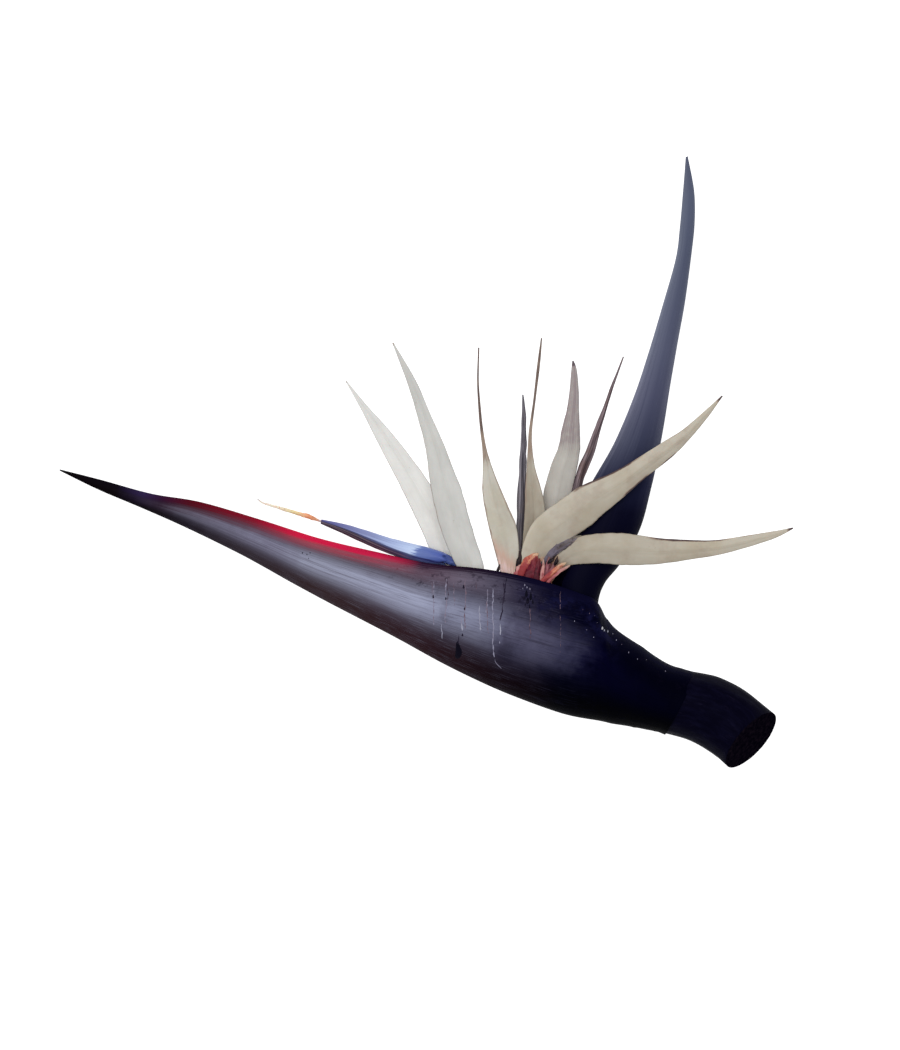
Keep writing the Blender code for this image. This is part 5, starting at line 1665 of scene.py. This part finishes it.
# Drops and specks of sap: (x, y, width, length, height, paleness)
SAP_DROPS = [
    (20.2, -116.4, 6.0, 11.8, 0.35, -0.2), (23.6, -77.5, 1.8, 2.6, 0.4, 0.1),
    (24.2, -91.0, 1.5, 1.9, 0.4, 0.05), (4.8, -83.6, 1.5, 2.6, 0.3, 0.1),
    (12.7, -84.8, 1.5, 2.2, 0.3, 0.1), (22.9, -107.2, 1.6, 2.2, 0.3, 0.1),
    (61.4, -76.4, 1.0, 1.6, 0.25, 0.6), (62.8, -77.8, 1.0, 1.4, 0.25, 0.64),
    (64.6, -78.8, 0.9, 1.8, 0.25, 0.6), (60.2, -78.6, 0.7, 1.2, 0.2, 0.56),
    (62.4, -81.5, 2.6, 5.0, 0.35, 0.0), (65.0, -83.2, 2.2, 5.8, 0.4, 0.0),
    (63.2, -86.0, 3.0, 4.4, 0.35, 0.0), (66.4, -86.6, 1.4, 3.6, 0.3, 0.0),
    (60.8, -84.4, 1.2, 3.0, 0.3, 0.1), (64.2, -89.4, 1.0, 3.4, 0.3, 0.0),
    (61.6, -88.6, 0.8, 2.2, 0.25, 0.0), (67.6, -83.4, 0.9, 2.6, 0.25, 0.0),
    (64.6, -108.4, 1.1, 1.8, 0.3, 0.4), (92.1, -98.6, 0.8, 1.0, 0.2, 0.66),
    (109.4, -103.0, 1.6, 2.2, 0.4, 0.95), (110.6, -104.4, 1.2, 1.4, 0.3, 0.75),
    (112.8, -105.0, 1.0, 1.8, 0.3, 0.75), (103.9, -108.6, 0.8, 0.9, 0.2, 0.68),
    (118.1, -110.4, 0.8, 1.0, 0.2, 0.66), (125.6, -118.0, 0.8, 1.2, 0.2, 0.62),
    (131.1, -122.2, 0.7, 0.9, 0.2, 0.62), (148.5, -129.7, 0.7, 0.9, 0.2, 0.6),
    (101.4, -93.8, 0.5, 1.4, 0.12, 0.5), (104.6, -95.2, 0.5, 0.9, 0.12, 0.56),
    (97.2, -91.6, 0.5, 0.8, 0.12, 0.46), (106.0, -99.6, 0.5, 0.7, 0.12, 0.56),
    (121.4, -113.2, 0.5, 0.7, 0.14, 0.5), (136.6, -122.6, 0.5, 0.7, 0.14, 0.56),
    (99.6, -104.0, 0.6, 0.8, 0.16, 0.6), (116.0, -106.6, 0.6, 0.8, 0.18, 0.62),
    (-76.4, -56.6, 1.1, 1.3, 0.2, 0.0), (-73.6, -57.6, 0.9, 1.2, 0.2, 0.0),
    (-71.6, -56.6, 1.0, 1.1, 0.2, 0.0), (-72.6, -60.0, 0.8, 1.0, 0.2, 0.0),
]
SAP_COLUMNS = 10
SAP_RING = 0.5  # millimetres from ring to ring
LEAST_RINGS = 8
DROP_SEED = 50  # drops are numbered from here, past all the runs
LONG_RUN = 12.0  # a shorter bead is a drop, fullest at its lower end
DROP_TAPER = 0.72
RUN_ENDS = (0.06, 0.85)  # shares of a run's length at which its lower and upper end are full
THINNEST_RUN = 0.05
THINNEST_SHARE = 0.03
SAP_SUNK = 0.05  # a bead that has thinned to less than this disappears in the skin
MISSED_HEIGHT = 20.0  # where a bead lies if no skin is found below it
PALE_GRAIN = 0.14


# %% Lay sap on the bract
def skin_under(tree, x, y, fallback):
    """The place on the skin below (x, y), in millimetres, and the skin's normal there."""
    place, normal = tree.ray_cast(Vector((x * MM, y * MM, 1.0)), DOWN)[:2]
    return (place / MM, normal if normal.z > 0.0 else -normal) if place else fallback


def bead_share(v, length, broken):
    """A bead's share of its full width and height: a drop's round form or a ragged run."""
    if length < LONG_RUN:
        round_end = math.sqrt(max(1.0 - (2.0 * v - 1.0) ** 2, 0.0))
        share = round_end * (1.0 - DROP_TAPER * v) * (1.0 + 0.2 * broken)
    else:
        ends = smooth(v, 0.0, RUN_ENDS[0]) * smooth(v, 1.0, RUN_ENDS[1])
        share = ends * max(0.8 + broken, THINNEST_RUN)
    return max(share, THINNEST_SHARE)


def lay_bead(bm, tree, seed, x, top, bottom, lean, width, height, pale):
    """A low bead on the skin, which wanders a little on its way down."""
    length = top - bottom
    start = skin_under(tree, x, (top + bottom) / 2.0, (Vector((x, bottom, MISSED_HEIGHT)), UP))

    def bend(u, v):
        angle = 2.0 * math.pi * u
        y = bottom + length * v
        wander = 0.7 * grain(y * 0.2, seed * 3.7, 1.0) + 0.3 * grain(y * 0.75, seed * 1.9, 4.0)
        middle = x + wander * min(length / LONG_RUN, 1.0) + lean * (1.0 - v) ** 2
        broken = 0.8 * grain(y * 0.7, seed * 1.3, 6.0) + 0.4 * grain(y * 2.3, seed * 2.1, 9.0)
        share = bead_share(v, length, broken)
        edge = middle + 0.5 * width * share * math.cos(angle)
        rise = height * share * math.sin(angle) - SAP_SUNK
        place, normal = skin_under(tree, edge, y, start)
        return place + normal * rise, (pale + PALE_GRAIN * grain(y * 0.5, seed, 2.0),)

    rings = max(int(length / SAP_RING), LEAST_RINGS)
    bend_grid(bm, SAP_COLUMNS, rings, bend, ("pale",), closed=True)


# %% Paint and make the sap
# From dark sap at 0 to whitish at 1: (paleness, red, green, blue)
SAP_COLOURS = (
    (0.0, 8, 6, 20), (0.2, 36, 30, 48), (0.36, 66, 54, 68), (0.45, 98, 78, 88), (0.55, 116, 106, 122),
    (0.65, 134, 132, 152), (0.8, 158, 158, 172), (1.0, 200, 198, 196),
)


def paint_sap():
    sap = Finish("dried_sap", Roughness=0.6, Specular_IOR_Level=0.04)
    pale = sap.attribute("pale")
    grains = sap.noise("Object", 900.0, detail=4.0)
    colour = sap.ramp(pale, SAP_COLOURS)
    worn = sap.times(sap.step(grains, 0.5, 0.7, 0.0, 0.4), sap.step(pale, 0.1, 0.5))
    sap.relief(grains, 0.1, 0.3)
    return sap.done(sap.mix(worn, colour, sap.mix(0.5, colour, tint(60, 56, 72))))


def make_sap():
    leaf = LOWER_LEAF.data
    points = [vert.co for vert in leaf.vertices]
    tree = BVHTree.FromPolygons(points, [list(face.vertices) for face in leaf.polygons])
    bm = bmesh.new()
    for seed, run in enumerate(SAP_RUNS):
        lay_bead(bm, tree, seed, *run)
    for seed, (x, y, width, length, height, pale) in enumerate(SAP_DROPS, DROP_SEED):
        lay_bead(bm, tree, seed, x, y + length / 2.0, y - length / 2.0, 0.0, width, height, pale)
    add_piece("dried_sap", bm, [paint_sap()], "bract_skin")


make_sap()

# %% [markdown]
# ## The two boxes
# The imported flower's box and the dressed flower's box are printed side by side.

# %% Write both boxes and finish
VISUAL_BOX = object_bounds()
tell_box("dressed flower:", VISUAL_BOX)
